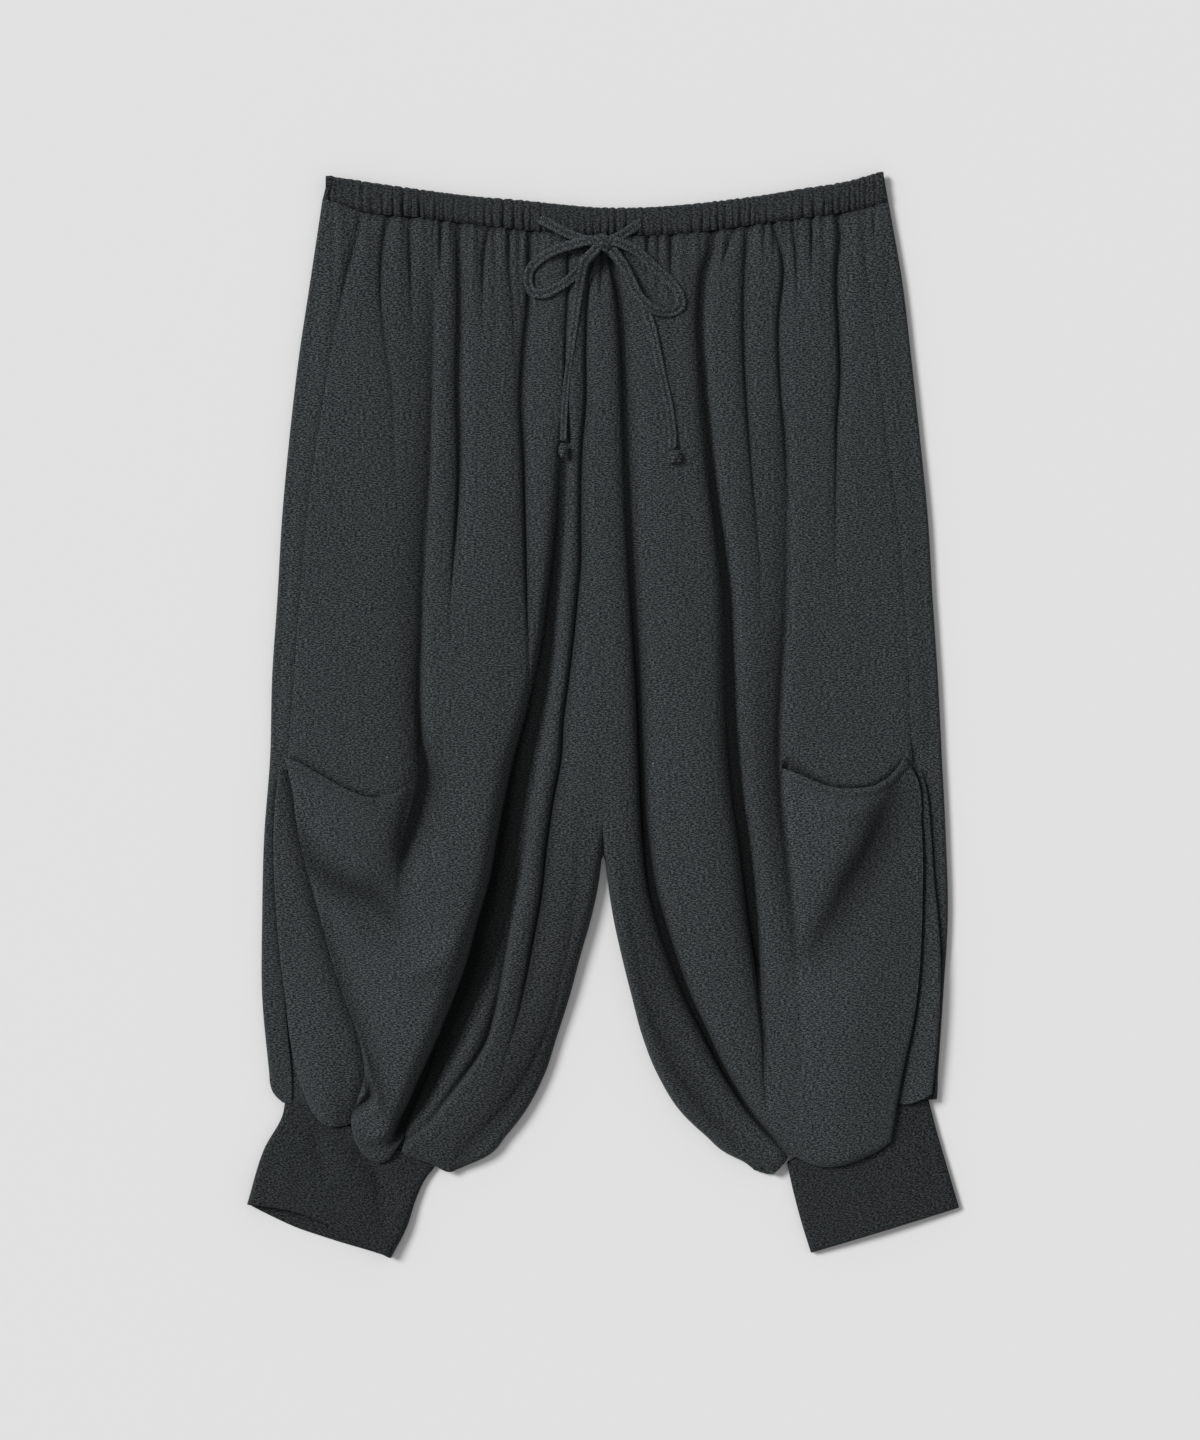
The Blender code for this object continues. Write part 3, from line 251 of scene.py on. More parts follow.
# Folds that hang across the pouches: x, y and rise at each point of the path, then the widths
# on its right-hand and left-hand side, going along it
Drape = namedtuple("Drape", "name right left path")
DRAPES = (
    Drape("left mouth hollow", 8, 15, (
        (-132, -28, -4.3), (-131, -48, -8), (-136, -62, -9.5), (-142, -80, -9),
        (-149, -104, -4), (-150, -120, 0))),
    Drape("left upper swag", 9, 9, (
        (-214, -72, 0), (-206, -86, 2), (-190, -100, 3.5), (-167, -115, 3.5), (-150, -117, 0))),
    Drape("left trough", 9, 9, (
        (-228, -74, 0), (-223, -92, -3.2), (-216, -107, -5.6), (-194, -126, -7.4),
        (-167, -138, -6.8), (-143, -167, 0))),
    Drape("left lower swag", 12, 12, (
        (-222, -122, 0), (-210, -134, 2.2), (-197, -146, 4.2), (-167, -178, 5.2),
        (-145, -190, 5.4), (-122, -182, 5.0), (-106, -152, 0))),
    Drape("left long hollow", 7, 10, (
        (-214, -122, 0), (-206, -160, -2.6), (-190, -210, -4.3), (-176, -250, -5.2),
        (-166, -280, -3.5), (-160, -300, 0))),
    Drape("left gather ridge", 6, 6, (
        (-184, -236, 0), (-176, -262, 3.5), (-169, -284, 4.1), (-164, -300, 0))),
    Drape("left pucker pit", 3.4, 3.4, (
        (-184, -261, 0), (-178.5, -271, -6.4), (-174, -283, -7.2), (-181, -291, -7.2),
        (-193, -299, -6.4), (-195.5, -305, 0))),
    Drape("left foot roll", 5, 6, (
        (-196, -304, 0), (-190, -309, 3.8), (-175, -315, 4.3), (-157, -309, 3.8), (-149, -297, 0))),
    Drape("right trough", 10, 21, (
        (228, -34, 0), (219, -62, -6.4), (211, -77, -9), (200, -100, -10.4), (186, -124, -10.2),
        (173, -152, -8), (158, -176, -4.4), (147, -190, 0))),
    Drape("right mouth swag", 7, 8, (
        (150, -60, 0), (168, -71, 2), (190, -72, 2.3), (208, -63, 0))),
)

# The free edges of the pouches: x and y down the outer edge and down the edge at the leg,
# then the drop of the upper and lower edges at even steps from the outer to the inner end
POUCH_OUTER = {
    LEFT: ((-239, -30), (-233, -55), (-229, -85), (-223.5, -107), (-216, -137), (-205, -175),
           (-193.5, -212), (-182, -246), (-179, -268), (-184, -287), (-189, -303), (-187, -316)),
    RIGHT: ((226.5, -30), (235.5, -46), (239, -82), (240, -111), (239.5, -145), (238.5, -174),
            (232.5, -231), (226, -262), (221, -289), (216, -319)),
}
POUCH_INNER = {
    LEFT: ((-134, -44), (-122, -90), (-110.5, -150), (-117, -210), (-133, -270), (-146, -298),
           (-149, -307), (-150.5, -316)),
    RIGHT: ((134, -38), (136, -90), (142, -150), (146, -210), (148, -270), (146, -330)),
}
MOUTH_DROP = {
    LEFT: (0, 3.5, 9.5, 15.5, 20, 21.5, 14, 4, 0),
    RIGHT: (0, 13, 19, 20, 19.5, 16.5, 11, 5, 0),
}
BOTTOM_DROP = {
    LEFT: (0, 9, 14, 17, 18.5, 18, 15, 8, 0),
    RIGHT: (0, 5, 8, 10.5, 12, 12, 10, 6, 0),
}
BESIDE_LEG = {LEFT: -275.0, RIGHT: -340.0}

# A pouch's edges: the height they turn down to and how far the upper half stands out; the radii
# of its side and foot; how much less the edge above the foot turns down
POUCH_LOW = 10.0
POUCH_LIFT = 3.6
POUCH_ROUND = 4.5
FOOT_ROUND = 7.8
FOOT_LIFT = 1.4

# The leg's front under a pouch: over how far it falls below the mouth, how far above the mouth
# that starts beside the seam, over what reach, and how low the hidden part lies
MOUTH_FALL = 12.0
MOUTH_LEAD = 14.0
MOUTH_LEAD_REACH = 50.0
HIDDEN_LEG = 5.0

# The folded side beside each pouch: x and y down its outer edge
SIDE_OUTER = {
    LEFT: ((-243, -38), (-246, -62), (-247.5, -100), (-246, -137), (-243, -175), (-238.5, -212),
           (-235, -242), (-228.5, -272), (-219, -296)),
    RIGHT: ((239, -40), (242.5, -52), (246, -82), (248.5, -120), (252, -154), (253.6, -186),
            (252.5, -227), (250, -257), (247, -283)),
}
SIDE_INNER = {
    LEFT: ((-226, -50), (-216, -85), (-203, -137), (-192, -175), (-180, -212), (-171, -246),
           (-170, -262), (-176, -285), (-182, -300)),
    RIGHT: ((222, -50), (226, -82), (227, -111), (226.5, -145), (225.5, -174), (219.5, -231),
            (213, -262), (208, -286)),
}

# The drop of its lower edge at even steps, how far it swells, and its two heights
SIDE_BOTTOM_DROP = {LEFT: (0, 8, 9, 7, 0), RIGHT: (0, 4, 6, 5, 0)}
SIDE_BULGE = {LEFT: 3.2, RIGHT: 0.6}
SIDE_HIGH = 11.0
SIDE_LOW = 8.6

# The cuffs: x and y down the outer and inner edges, the drop of the two hems at even steps
# from the outer to the inner end, and how high the front stands at its upper edge and hem
CUFF_OUTER = {
    LEFT: ((-239, -284.7), (-240.5, -297), (-255, -325), (-267.8, -366.5)),
    RIGHT: ((243.2, -281), (251, -311), (260, -342), (268, -369)),
}
CUFF_INNER = {
    LEFT: ((-126.5, -338.4), (-134.5, -349), (-140, -361), (-148, -385), (-159.5, -407)),
    RIGHT: ((138.5, -335.4), (143.5, -358), (152, -389), (156.5, -403)),
}
FRONT_HEM_DROP = {LEFT: (0, -5.5, -9, -9.5, -7, -3.5, 0), RIGHT: (0, 0, 0, 0, 0, 0, 0)}
BACK_HEM_DROP = {LEFT: (0, 2.5, 4, 3.5, 2.5, 1, 0), RIGHT: (0, 0, 0, 0, 0, 0, 0)}
CUFF_HIGH = {LEFT: (7.6, 13.5), RIGHT: (7.4, 8.2)}
CUFF_LOW = 2.7
CUFF_ROUND = 5.0
CUFF_CROWN = 0.25

# Drag folds of the cuffs: both ends' x and y, rise and width
CUFF_FOLDS = {
    LEFT: ((-219.5, -306, -204, -352, -2.6, 6), (-190, -318, -150, -370, -3.2, 7),
           (-172, -330, -163, -392, -1.8, 6), (-236, -320, -240, -366, 1.0, 7)),
    RIGHT: ((196, -335, 214, -372, -0.8, 6), (232, -318, 240, -356, 0.7, 7)),
}

# The tie: x, y and z along its two halves, each from its buttonhole through the knot
TIE_HALVES = {
    LEFT: ((-48, 374, 9.4), (-42, 371, 10.2), (-33, 366, 10.4), (-22, 361, 10.6), (-12, 357.5, 12),
           (-2, 355, 14.4), (-8, 356.8, 16.6), (-21, 354.5, 15.4), (-36, 350, 12.8),
           (-47, 344, 10.6), (-55, 335, 9.6), (-56, 326, 9.6), (-53, 319, 10.2),
           (-44, 317.5, 11.4), (-33, 323, 11), (-21, 332, 10.4), (-13, 342, 11),
           (-5, 350.5, 12.6), (-2, 355, 16.4), (-6, 349.5, 17.6), (-13.4, 341.5, 16.6),
           (-16, 332, 14.2), (-18, 322, 11), (-19.8, 309, 10), (-21.5, 296, 9.9),
           (-24.5, 273, 9.6), (-27.5, 249, 9.6), (-29.3, 224, 9.8), (-29.8, 207, 10.6)),
    RIGHT: ((28, 371, 9.4), (20, 365.5, 10), (12, 360.5, 10.4), (4, 357, 12), (-1, 355.5, 14.8),
            (8, 356.3, 16.4), (16, 353.8, 15.8), (24, 350, 14.8), (39, 337, 12.8),
            (52, 325, 11.4), (58, 315, 11.4), (58.5, 308.5, 11.6), (52, 304, 12),
            (43, 304, 13.8), (34, 308.5, 16), (27, 315, 16.4), (21, 327, 15.8), (14, 341, 15),
            (7, 349.5, 15), (-1, 354, 13.6), (5, 350, 11.2), (11, 344, 9.6), (20.5, 328, 10.2),
            (29, 312, 11.2), (35, 297, 11.6), (40, 276, 11.9), (45, 252, 12.1), (49, 235, 12.2),
            (51.5, 217, 12.4), (52.2, 201, 13)),
}

# The tie's width and thickness, and its width's share along each half
TIE_WIDTH = 7.5
TIE_THICK = 1.9
TIE_WIDTHS = {
    LEFT: ((0, 1), (0.62, 1), (0.75, 0.8), (0.86, 0.66), (1, 0.7)),
    RIGHT: ((0, 1), (0.6, 1), (0.8, 0.92), (1, 0.86)),
}

# The knots: centre, size and turn
KNOT = ((-0.5, 355.5, 14.6), (16.5, 12, 9), -0.35)
END_KNOTS = {
    LEFT: ((-30, 199.6, 12.2), (6.6, 11.2, 5.4), 0.12),
    RIGHT: ((53.2, 194.8, 14), (11, 9.6, 6), 0.3),
}

# How finely each piece is divided
LEG_OUTER_COLUMNS = 56
LEG_INNER_COLUMNS = 140
LEG_ROWS = 236
BACK_ROWS = 190
BACK_COLUMNS = 60
BEND_STEPS = 12
WRAP_COLUMNS = 24
POUCH_COLUMNS = 96
POUCH_ROWS = 170
SIDE_ROWS = 110
SIDE_COLUMNS = 30
CUFF_COLUMNS = 90
CUFF_ROWS = 54
CUFF_BACK_COLUMNS = 40
CUFF_BACK_ROWS = 30
BAND_COLUMNS = 900
BAND_ROWS = 18
BAND_BACK_COLUMNS = 420
BAND_WRAP_COLUMNS = 40
BAND_BEND_STEPS = 16
KNOT_RINGS = 34
KNOT_CORNERS = 44

# Cut of each piece: its width and length in metres, and its area in square metres
FRONT_CUT = ((0.27, 0.74), 0.165)
BACK_CUT = ((0.275, 0.74), 0.18)
POUCH_CUT = ((0.125, 0.31), 0.026)
SIDE_CUT = {LEFT: ((0.065, 0.27), 0.0125), RIGHT: ((0.042, 0.25), 0.0070)}
CUFF_CUT = ((0.13, 0.09), 0.010)
BAND_FRONT_CUT = ((0.40, 0.028), 0.0106)
BAND_BACK_CUT = ((0.46, 0.026), 0.0103)

# Finer unevenness: pitch, depth, reach and phase of the gathers under the waist seam; across,
# down, height and phase of the soft waves; line, lean, depth, width, top and foot of the creases
# on the hidden side; pitch, depth and phase of the band's gathers
GATHERS = ((6.3, 1.1, 15, 0.4), (9.7, 1.1, 30, 1.9), (14.3, 0.9, 55, 4.1))
WAVES = ((21, 47, 0.35, 0.7), (13, 29, 0.22, 2.1), (34, 61, 0.45, 3.9))
BACK_CREASES = (
    (-168, 14, 2.2, 8, 350, 60), (-117, 22, 1.6, 6, 380, -40), (-61, -8, 2.0, 9, 330, 40),
    (-150, -20, 1.8, 7, 60, -230), (58, 12, 1.9, 8, 360, 10), (109, -16, 1.5, 6, 300, -60),
    (176, -10, 2.3, 9, 340, 90), (150, 18, 1.8, 8, 20, -250),
)
BAND_WAVES = ((6.6, 0.95, 0.3), (4.1, 0.5, 2.0), (11.9, 0.4, 4.4))

# How far the band's upper edge stands above its line, and its gathers' share of that
BAND_RISE = 3.2
BAND_KNOBS = 0.35

# Depth and half width of the groove along a side seam, and the width of the step at a pouch's
# seam; half the gap between the fronts at the centre seam, and its dip
SIDE_GROOVE = 0.8
SIDE_GROOVE_WIDE = 2.2
STEP_WIDE = 0.9
CENTRE_GAP = 0.03
CENTRE_DIP = 0.15

# A pouch: its lowest height, how far it reaches over the leg's seam, the thickness of its hem, how
# far its closed end is tucked under the leg, and how wide the painted shade above its mouth is on
# the leg
POUCH_FLOOR = 6.4
POUCH_FLAP = 1.0
MOUTH_HEM = 1.5
MOUTH_TUCK = 1.7
MOUTH_SHADE = 2.2

# Where each leg ends: y at its outer and at its inner edge
LEG_END = {LEFT: (-288.0, -341.0), RIGHT: (-291.0, -338.0)}

# The tie: points a millimetre, its section from edge to edge over the top and back below, in
# half widths and half thicknesses, and how much painted shade darkens each corner of the section
TIE_POINTS_A_MM = 1.1
TIE_SECTION = ((1, 0), (0.9, 0.75), (0.62, 1.0), (0.3, 0.72), (0.0, 0.45), (-0.3, 0.72),
               (-0.62, 1.0), (-0.9, 0.75), (-1, 0), (-0.9, -0.7), (-0.5, -0.9), (0.0, -0.9),
               (0.5, -0.9), (0.9, -0.7))
TIE_SHADE = (0.6, 0.12, 0, 0.2, 0.65, 0.2, 0, 0.12, 0.6, 0.6, 0.6, 0.6, 0.6, 0.6)

# The knots: how round they are, how much painted shade darkens them, and how much more between
# their turns
KNOT_FULLNESS = 0.82
KNOT_SHADE = 0.3
KNOT_SHADE_TURNS = 3.5

# Shade and seed of the jersey of each slot
SHADES = {
    "leg": (0.70, 0.0),
    "pouch": (0.755, 3.1),
    "waistband": (0.53, 5.7),
    "cuff": (0.43, 8.3),
    "tie": (0.98, 11.9),
}

# Patterns of the jersey, in units a metre across and down the cloth
BROAD = (9.0, 7.0)
CLOUDS = (95.0, 150.0)
LINES = (70.0, 950.0)
STREAKS = (430.0, 1350.0)
FIBRES = (950.0, 1300.0)
LINT = (19.0, 23.0)
KNIT = (115.0, 115.0)
LINT_COLOUR = (0.42, 0.42, 0.42)

# The camera hangs over this point, in metres; the frame is FRAME_HIGH high at CAMERA_PLANE above
# the floor. SUN_TURN and SUN_ANGLE are the turn and the softness of the light, in radians
CAMERA_X = -0.00225
CAMERA_Y = -0.00225
CAMERA_PLANE = 0.012
FRAME_HIGH = 1.08
SUN_TURN = (-0.36, -0.79, 0.0)
SUN_ANGLE = 0.36

# The slit in the middle of a crease: half width, and its depth as a share of the crease's own
SLIT_WIDE = 1.3
SLIT_SHARP = 0.75
SLIT_SOFT = 0.25
# The depth of a fold, in millimetres, at which its painted shade is full
PAINTED_SHADE_DEPTH = 6.5

# How the legs end over the cuffs: drop of the lower edge at even steps from the outer to the
# inner end, the height and radius of its roll, and how far the outer corner is rounded off
LEG_BOTTOM_DROP = {LEFT: (0, 0, 1, 3.5, 3, 2.5, 2.5, 3, 0.5), RIGHT: (0, 0, 0, 0, 2, 6, 9, 8, 0)}
LEG_END_LOW = 8.0
LEG_END_ROUND = 6.0
LEG_CORNER = {LEFT: 10.0, RIGHT: 2.0}
BACK_LONGER = {LEFT: 2.0, RIGHT: -3.5}

# Depth and width of the valley in the side beside a pouch, and how much of a mouth is open
SIDE_VALLEY = 3.0
SIDE_VALLEY_WIDE = 6.0
MOUTH_FREE = {LEFT: 0.72, RIGHT: 1.0}


def smooth_step(value):
    """Goes smoothly from 0 to 1 while the value does."""
    t = np.clip(value, 0.0, 1.0)
    return t * t * (3 - 2 * t)


def read_curve(places, values, where):
    """Reads a smooth curve through the values at their places, which rise."""
    places = np.asarray(places, float)
    values = np.asarray(values, float)
    if len(places) == 2:
        return np.interp(where, places, values)
    slopes = np.gradient(values, places)
    where = np.clip(where, places[0], places[-1])
    i = np.clip(np.searchsorted(places, where, side="right") - 1, 0, len(places) - 2)
    span = places[i + 1] - places[i]
    t = (where - places[i]) / span
    start = values[i] * (1 + 2 * t) * (1 - t) ** 2 + slopes[i] * span * t * (1 - t) ** 2
    end = values[i + 1] * t * t * (3 - 2 * t) + slopes[i + 1] * span * t * t * (t - 1)
    return start + end


def at_stations(values, y):
    """Reads a table of one value a station at the height y."""
    return read_curve(np.arange(len(values)), values, (TOP - y) / PITCH)


def along(points, v):
    """Reads the smooth path through the points, v going from 0 to 1 by their lengths."""
    points = np.asarray(points, float)
    steps = np.linalg.norm(np.diff(points, axis=0), axis=1)
    places = np.concatenate([[0.0], np.cumsum(steps)]) / steps.sum()
    return np.stack([read_curve(places, column, v) for column in points.T], axis=-1)


def fold_line(fold, y):
    """The line x, rise, left width and right width of a long fold at the height y."""
    path = np.asarray(fold.path, float)
    return [read_curve(-path[:, 0], path[:, column], -y) for column in (1, 2, 3, 4)]


def fold_rise(fold, x, y):
    """How much one long fold lifts or lowers the cloth at x, y, and how deep in it that is, which
    sets its painted shade.

    A sharp crease has a narrow slit along its middle, deeper than its soft sides.
    """
    line, rise, left, right = fold_line(fold, y)
    off = x - line
    width = np.where(off < 0, left, right)
    off = np.maximum(np.abs(off) - fold.floor * np.abs(rise), 0)
    soft = rise * np.exp(-(off / width) ** fold.shape)
    sharp = fold.shape < 1.4
    slit = np.minimum(rise, 0) * np.exp(-(off / (SLIT_WIDE if sharp else 2 * SLIT_WIDE)) ** 2)
    # The depth sets the fold's painted shade; in a valley with a flat floor that painted shade
    # fades towards the right side, as a painted shadow of the left wall.
    depth = -np.minimum(rise, 0) * np.exp(-(off / (0.5 * width)) ** 1.4)
    if fold.floor > 0.2:
        depth = depth * (1 - 0.75 * smooth_step((x - line + 1.5) / 9))
    return soft + (SLIT_SHARP if sharp else SLIT_SOFT) * slit, depth


def drape_rise(drape, x, y):
    """How much one fold across a pouch lifts or lowers the cloth at x, y."""
    points = np.asarray(drape.path, float)
    reach = 3 * max(drape.left, drape.right)
    low, high = points[:, :2].min(axis=0) - reach, points[:, :2].max(axis=0) + reach
    near = (x > low[0]) & (x < high[0]) & (y > low[1]) & (y < high[1])
    total = np.zeros_like(x)
    if not near.any():
        return total
    path = along(points, np.linspace(0, 1, 60))
    gap_x = x[near][:, None] - path[:, 0]
    gap_y = y[near][:, None] - path[:, 1]
    nearest = np.argmin(gap_x ** 2 + gap_y ** 2, axis=-1)
    rows = np.arange(len(nearest))
    gap_x, gap_y = gap_x[rows, nearest], gap_y[rows, nearest]
    heading = np.gradient(path[:, :2], axis=0)[nearest]
    turn = heading[:, 0] * gap_y - heading[:, 1] * gap_x
    width = np.where(turn < 0, drape.right, drape.left)
    total[near] = path[nearest, 2] * np.exp(-(np.hypot(gap_x, gap_y) / width) ** 1.6)
    return total


def waist_seam(x):
    """The height y of the seam under the waistband."""
    return read_curve(SEAM_X, SEAM_Y, x)


def gathered(x, pitch, phase):
    """A row of gathers from -1 to 1: broad round ridges with narrow valleys between them."""
    return 2 * np.abs(np.sin(math.pi * x / pitch + phase)) ** 0.8 - 1


def waist_gathers(x, y):
    """Fine gathers that run down from the waist seam, each as far as its row says."""
    below = np.maximum(waist_seam(x) - y, 0)
    total = np.zeros_like(x)
    for pitch, depth, reach, phase in GATHERS:
        wander = 2.4 * np.sin(x / 31 + phase) + 1.3 * np.sin(x / 13.7 + 2 * phase)
        share = 0.75 + 0.35 * np.sin(x / 19 + 3 * phase)
        total += depth * share * gathered(x + wander, pitch, phase) * np.exp(-below / reach)
    return total


def soft_waves(x, y):
    """The faint unevenness of cloth that was smoothed out by hand."""
    total = np.zeros_like(x)
    for across, down, height, phase in WAVES:
        total += height * np.sin(x / across + phase + 0.8 * np.sin(y / 71 + phase)) * \
            np.sin(y / down + 1.7 * phase)
    return total


def outside_of_seam(side, x, y):
    """How far x, y lies on the pouch's side of the seam between the pouch and the leg."""
    return side * (x - at_stations(POUCH_SEAM[side], y))


def body_height(x, y):
    """The outer face of the laid cloth over both legs, before any edge is turned down."""
    from_edge = np.minimum(x - at_stations(OUTER[LEFT], y), at_stations(OUTER[RIGHT], y) - x)
    inward = 1 - np.exp(-np.maximum(from_edge, 0) / EDGE_REACH)
    crest = read_curve(CREST_Y[::-1], CREST[::-1], y)
    height = ROLL + (crest - ROLL) * inward + soft_waves(x, y) * inward + waist_gathers(x, y)
    for fold in FOLDS:
        height = height + fold_rise(fold, x, y)[0]
    for drape in DRAPES:
        height = height + drape_rise(drape, x, y)
    height = height - SEAM_DIP * np.exp(-np.maximum(waist_seam(x) - y, 0) / SEAM_DIP_LONG)
    low = np.full_like(height, FLOOR)
    for side in (LEFT, RIGHT):
        beside = smooth_step((outside_of_seam(side, x, y) + 12) / 10) * smooth_step((-16 - y) / 14)
        low = low + (POUCH_FLOOR - FLOOR) * beside
        groove = np.exp(-(np.abs(x - at_stations(SIDE_SEAM[side], y)) / SIDE_GROOVE_WIDE) ** 1.3)
        height = height - SIDE_GROOVE * groove
    return low + np.logaddexp(0, (height - low) / FLOOR_BLEND) * FLOOR_BLEND


def painted_shade_share(x, y):
    """Painted shade by how deep in a fold each place lies, from 0 on open cloth to 1 in a deep
    valley, and under the waist seam.
    """
    total = np.zeros_like(x)
    for fold in FOLDS:
        depth = fold_rise(fold, x, y)[1]
        total += np.where(depth > PAINTED_SHADE_DEPTH, 1.0, (depth / PAINTED_SHADE_DEPTH) ** 1.2)
    for drape in DRAPES:
        total += np.maximum(-drape_rise(drape, x, y), 0) / (2.2 * PAINTED_SHADE_DEPTH)
    below = np.maximum(waist_seam(x) - y, 0)
    total += 0.5 * np.exp(-(below / 2.6) ** 2)
    return np.clip(total, 0, 1)


def painted_shade_above_mouth(side, x, y):
    """How close the front lies above a pouch's upper edge, from 0 to 1, as painted shade there."""
    off = y - mouth_edge(side, x)
    outer, inner = POUCH_OUTER[side][0][0], POUCH_INNER[side][0][0]
    part = (x - outer) / (inner - outer)
    along_it = smooth_step(part / 0.08) * smooth_step((MOUTH_FREE[side] - part) / 0.1)
    return np.exp(-((off - 0.5) / MOUTH_SHADE) ** 2) * along_it


def leg_painted_shade(side, x, y):
    """Painted shade of a leg's front: how deep in a fold or close above the mouth each place lies.
    """
    return np.clip(painted_shade_share(x, y) + 0.8 * painted_shade_above_mouth(side, x, y), 0, 1)


def turned_down(height, low, distance, radius):
    """Turns an edge down: the height falls to low along a quarter round of this radius."""
    part = np.clip(distance / radius, 0, 1)
    return low + (height - low) * np.sqrt(1 - (1 - part) ** 2)


def mouth_edge(side, x):
    """The height y of a pouch's upper edge at x."""
    steps = np.linspace(0, 1, len(MOUTH_DROP[side]))
    start = np.asarray(POUCH_OUTER[side][0], float)
    end = np.asarray(POUCH_INNER[side][0], float)
    part = np.clip((x - start[0]) / (end[0] - start[0]), 0, 1)
    return start[1] + (end[1] - start[1]) * part - read_curve(steps, MOUTH_DROP[side], part)


def inseam(side, y):
    """The inner edge of a leg, and the centre seam above the crotch."""
    reach = read_curve(INSEAM_Y[::-1], INSEAM_X[side][::-1], np.minimum(y, INSEAM_Y[0]))
    reach = np.where(y > INSEAM_Y[0], 0.0, reach)
    blend = smooth_step((CROTCH_START - y) / (CROTCH_START - CROTCH_END))
    return side * (CENTRE_GAP + reach * blend)


def leg_height(side, x, y):
    """The front of a leg: under its pouch it lies low, and at the inseam it turns down."""
    height = body_height(x, y)
    outside = outside_of_seam(side, x, y)
    outer, inner = POUCH_OUTER[side][0][0], POUCH_INNER[side][0][0]
    closed = smooth_step(((x - outer) / (inner - outer) - MOUTH_FREE[side] + 0.06) / 0.12)
    lead = MOUTH_LEAD * smooth_step(1 - outside / MOUTH_LEAD_REACH) * (1 - closed) - 3.0 * closed
    under_pouch = smooth_step(outside / STEP_WIDE)
    under_pouch = under_pouch * smooth_step((mouth_edge(side, x) + lead - y) / MOUTH_FALL)
    height = height - (height - HIDDEN_LEG) * under_pouch
    from_inseam = side * (x - inseam(side, y))
    opened = smooth_step((CROTCH_START - y) / (CROTCH_START - CROTCH_END))
    turned = turned_down(height, UNDER + 0.5, from_inseam, INSEAM_ROUND)
    height = height + (turned - height) * opened
    return height - CENTRE_DIP * np.exp(-(from_inseam / 2.0) ** 2) * (1 - opened)


def fold_density(x, y):
    """How closely the columns of a leg stand at x: closest on its folds."""
    density = np.ones_like(x)
    for fold in FOLDS:
        line, rise, left, right = fold_line(fold, y)
        depth = np.abs(rise)
        narrow = np.minimum(left, right)
        off = np.maximum(np.abs(x - line) - fold.floor * depth, 0)
        density = density + 0.5 * depth / narrow / (1 + (off / narrow) ** 2)
        density = density + 0.5 * np.minimum(-np.minimum(rise, 0), 6) * np.exp(-(off / 2.2) ** 2)
    return density


def spread_points(start, end, count):
    """Points along a stretch of a leg's row, closer together where the folds are."""
    fine = np.linspace(0, 1, 260)[:, None]
    points = start + (end - start) * fine
    weight = fold_density(points[:, 0], points[:, 1])
    total = np.concatenate([[0.0], np.cumsum((weight[1:] + weight[:-1]) / 2)])
    places = np.interp(np.linspace(0, total[-1], count), total, fine[:, 0])
    return start + (end - start) * places[:, None]


def leg_row(side, start, end):
    """One row of a leg's front, with close points on the step at the pouch's seam."""
    step = start
    for _ in range(4):
        x = float(at_stations(POUCH_SEAM[side], step[1]))
        step = start + (end - start) * (x - start[0]) / (end[0] - start[0])
    direction = (end - start) / abs(end[0] - start[0])
    foot = step - direction * STEP_WIDE
    outer = spread_points(start, foot, LEG_OUTER_COLUMNS)
    on_step = [foot + (step - foot) * share for share in (0.3, 0.6, 0.85)]
    inner = spread_points(step, end, LEG_INNER_COLUMNS)
    return np.concatenate([outer, on_step, inner])


def sag_at_waist(points):
    """Lowers the upper rows of a leg to the curved waist seam."""
    drop = TOP - waist_seam(points[..., 0])
    fade = 1 - smooth_step((TOP - points[..., 1]) / SAG_FADE)
    points[..., 1] -= drop * fade
    return points


def leg_rows(side, count):
    """Heights y of the rows down a leg, at its outer and its inner edge."""
    v = np.linspace(0, 1, count)
    outer_end, inner_end = LEG_END[side]
    outer = TOP + (outer_end - TOP) * v
    inner = TOP + (inner_end - TOP) * v
    level = smooth_step((v - 0.45) / 0.55)
    return outer, inner * level + outer * (1 - level)


def front_grid(side):
    """The front of one leg, from the side seam to the centre seam and the inseam."""
    rows = []
    for y_outer, y_inner in zip(*leg_rows(side, LEG_ROWS)):
        start = np.array([at_stations(SIDE_SEAM[side], y_outer) - side * GAP / 3, y_outer])
        end = np.array([float(inseam(side, np.float64(y_inner))), y_inner])
        rows.append(leg_row(side, start, end))
    grid = sag_at_waist(np.stack(rows))
    share = np.linspace(0, 1, grid.shape[1])
    drop = read_curve(np.linspace(0, 1, len(LEG_BOTTOM_DROP[side])), LEG_BOTTOM_DROP[side], share)
    grid[..., 1] -= drop * smooth_step((np.linspace(0, 1, LEG_ROWS) - 0.8) / 0.2)[:, None]
    height = leg_height(side, grid[..., 0], grid[..., 1])
    from_end = np.linalg.norm(grid - grid[-1:], axis=-1)
    rolled = turned_down(height, np.minimum(LEG_END_LOW, height), from_end, LEG_END_ROUND)
    inner = smooth_step((share - 0.35) / 0.15)
    height = height + (rolled - height) * inner
    return np.concatenate([grid, height[..., None]], axis=-1)


def back_creases(x, y):
    """Soft creases on the hidden side, where the cloth stands off the surface."""
    total = np.zeros_like(x)
    for line, lean, depth, width, high, low in BACK_CREASES:
        fade = smooth_step((high - y) / 70) * smooth_step((y - low) / 90)
        middle = line + lean * (y - 100) / 400 + 3 * np.sin(y / 83 + line)
        total += depth * fade * np.exp(-(np.abs(x - middle) / width) ** 1.4)
    return total


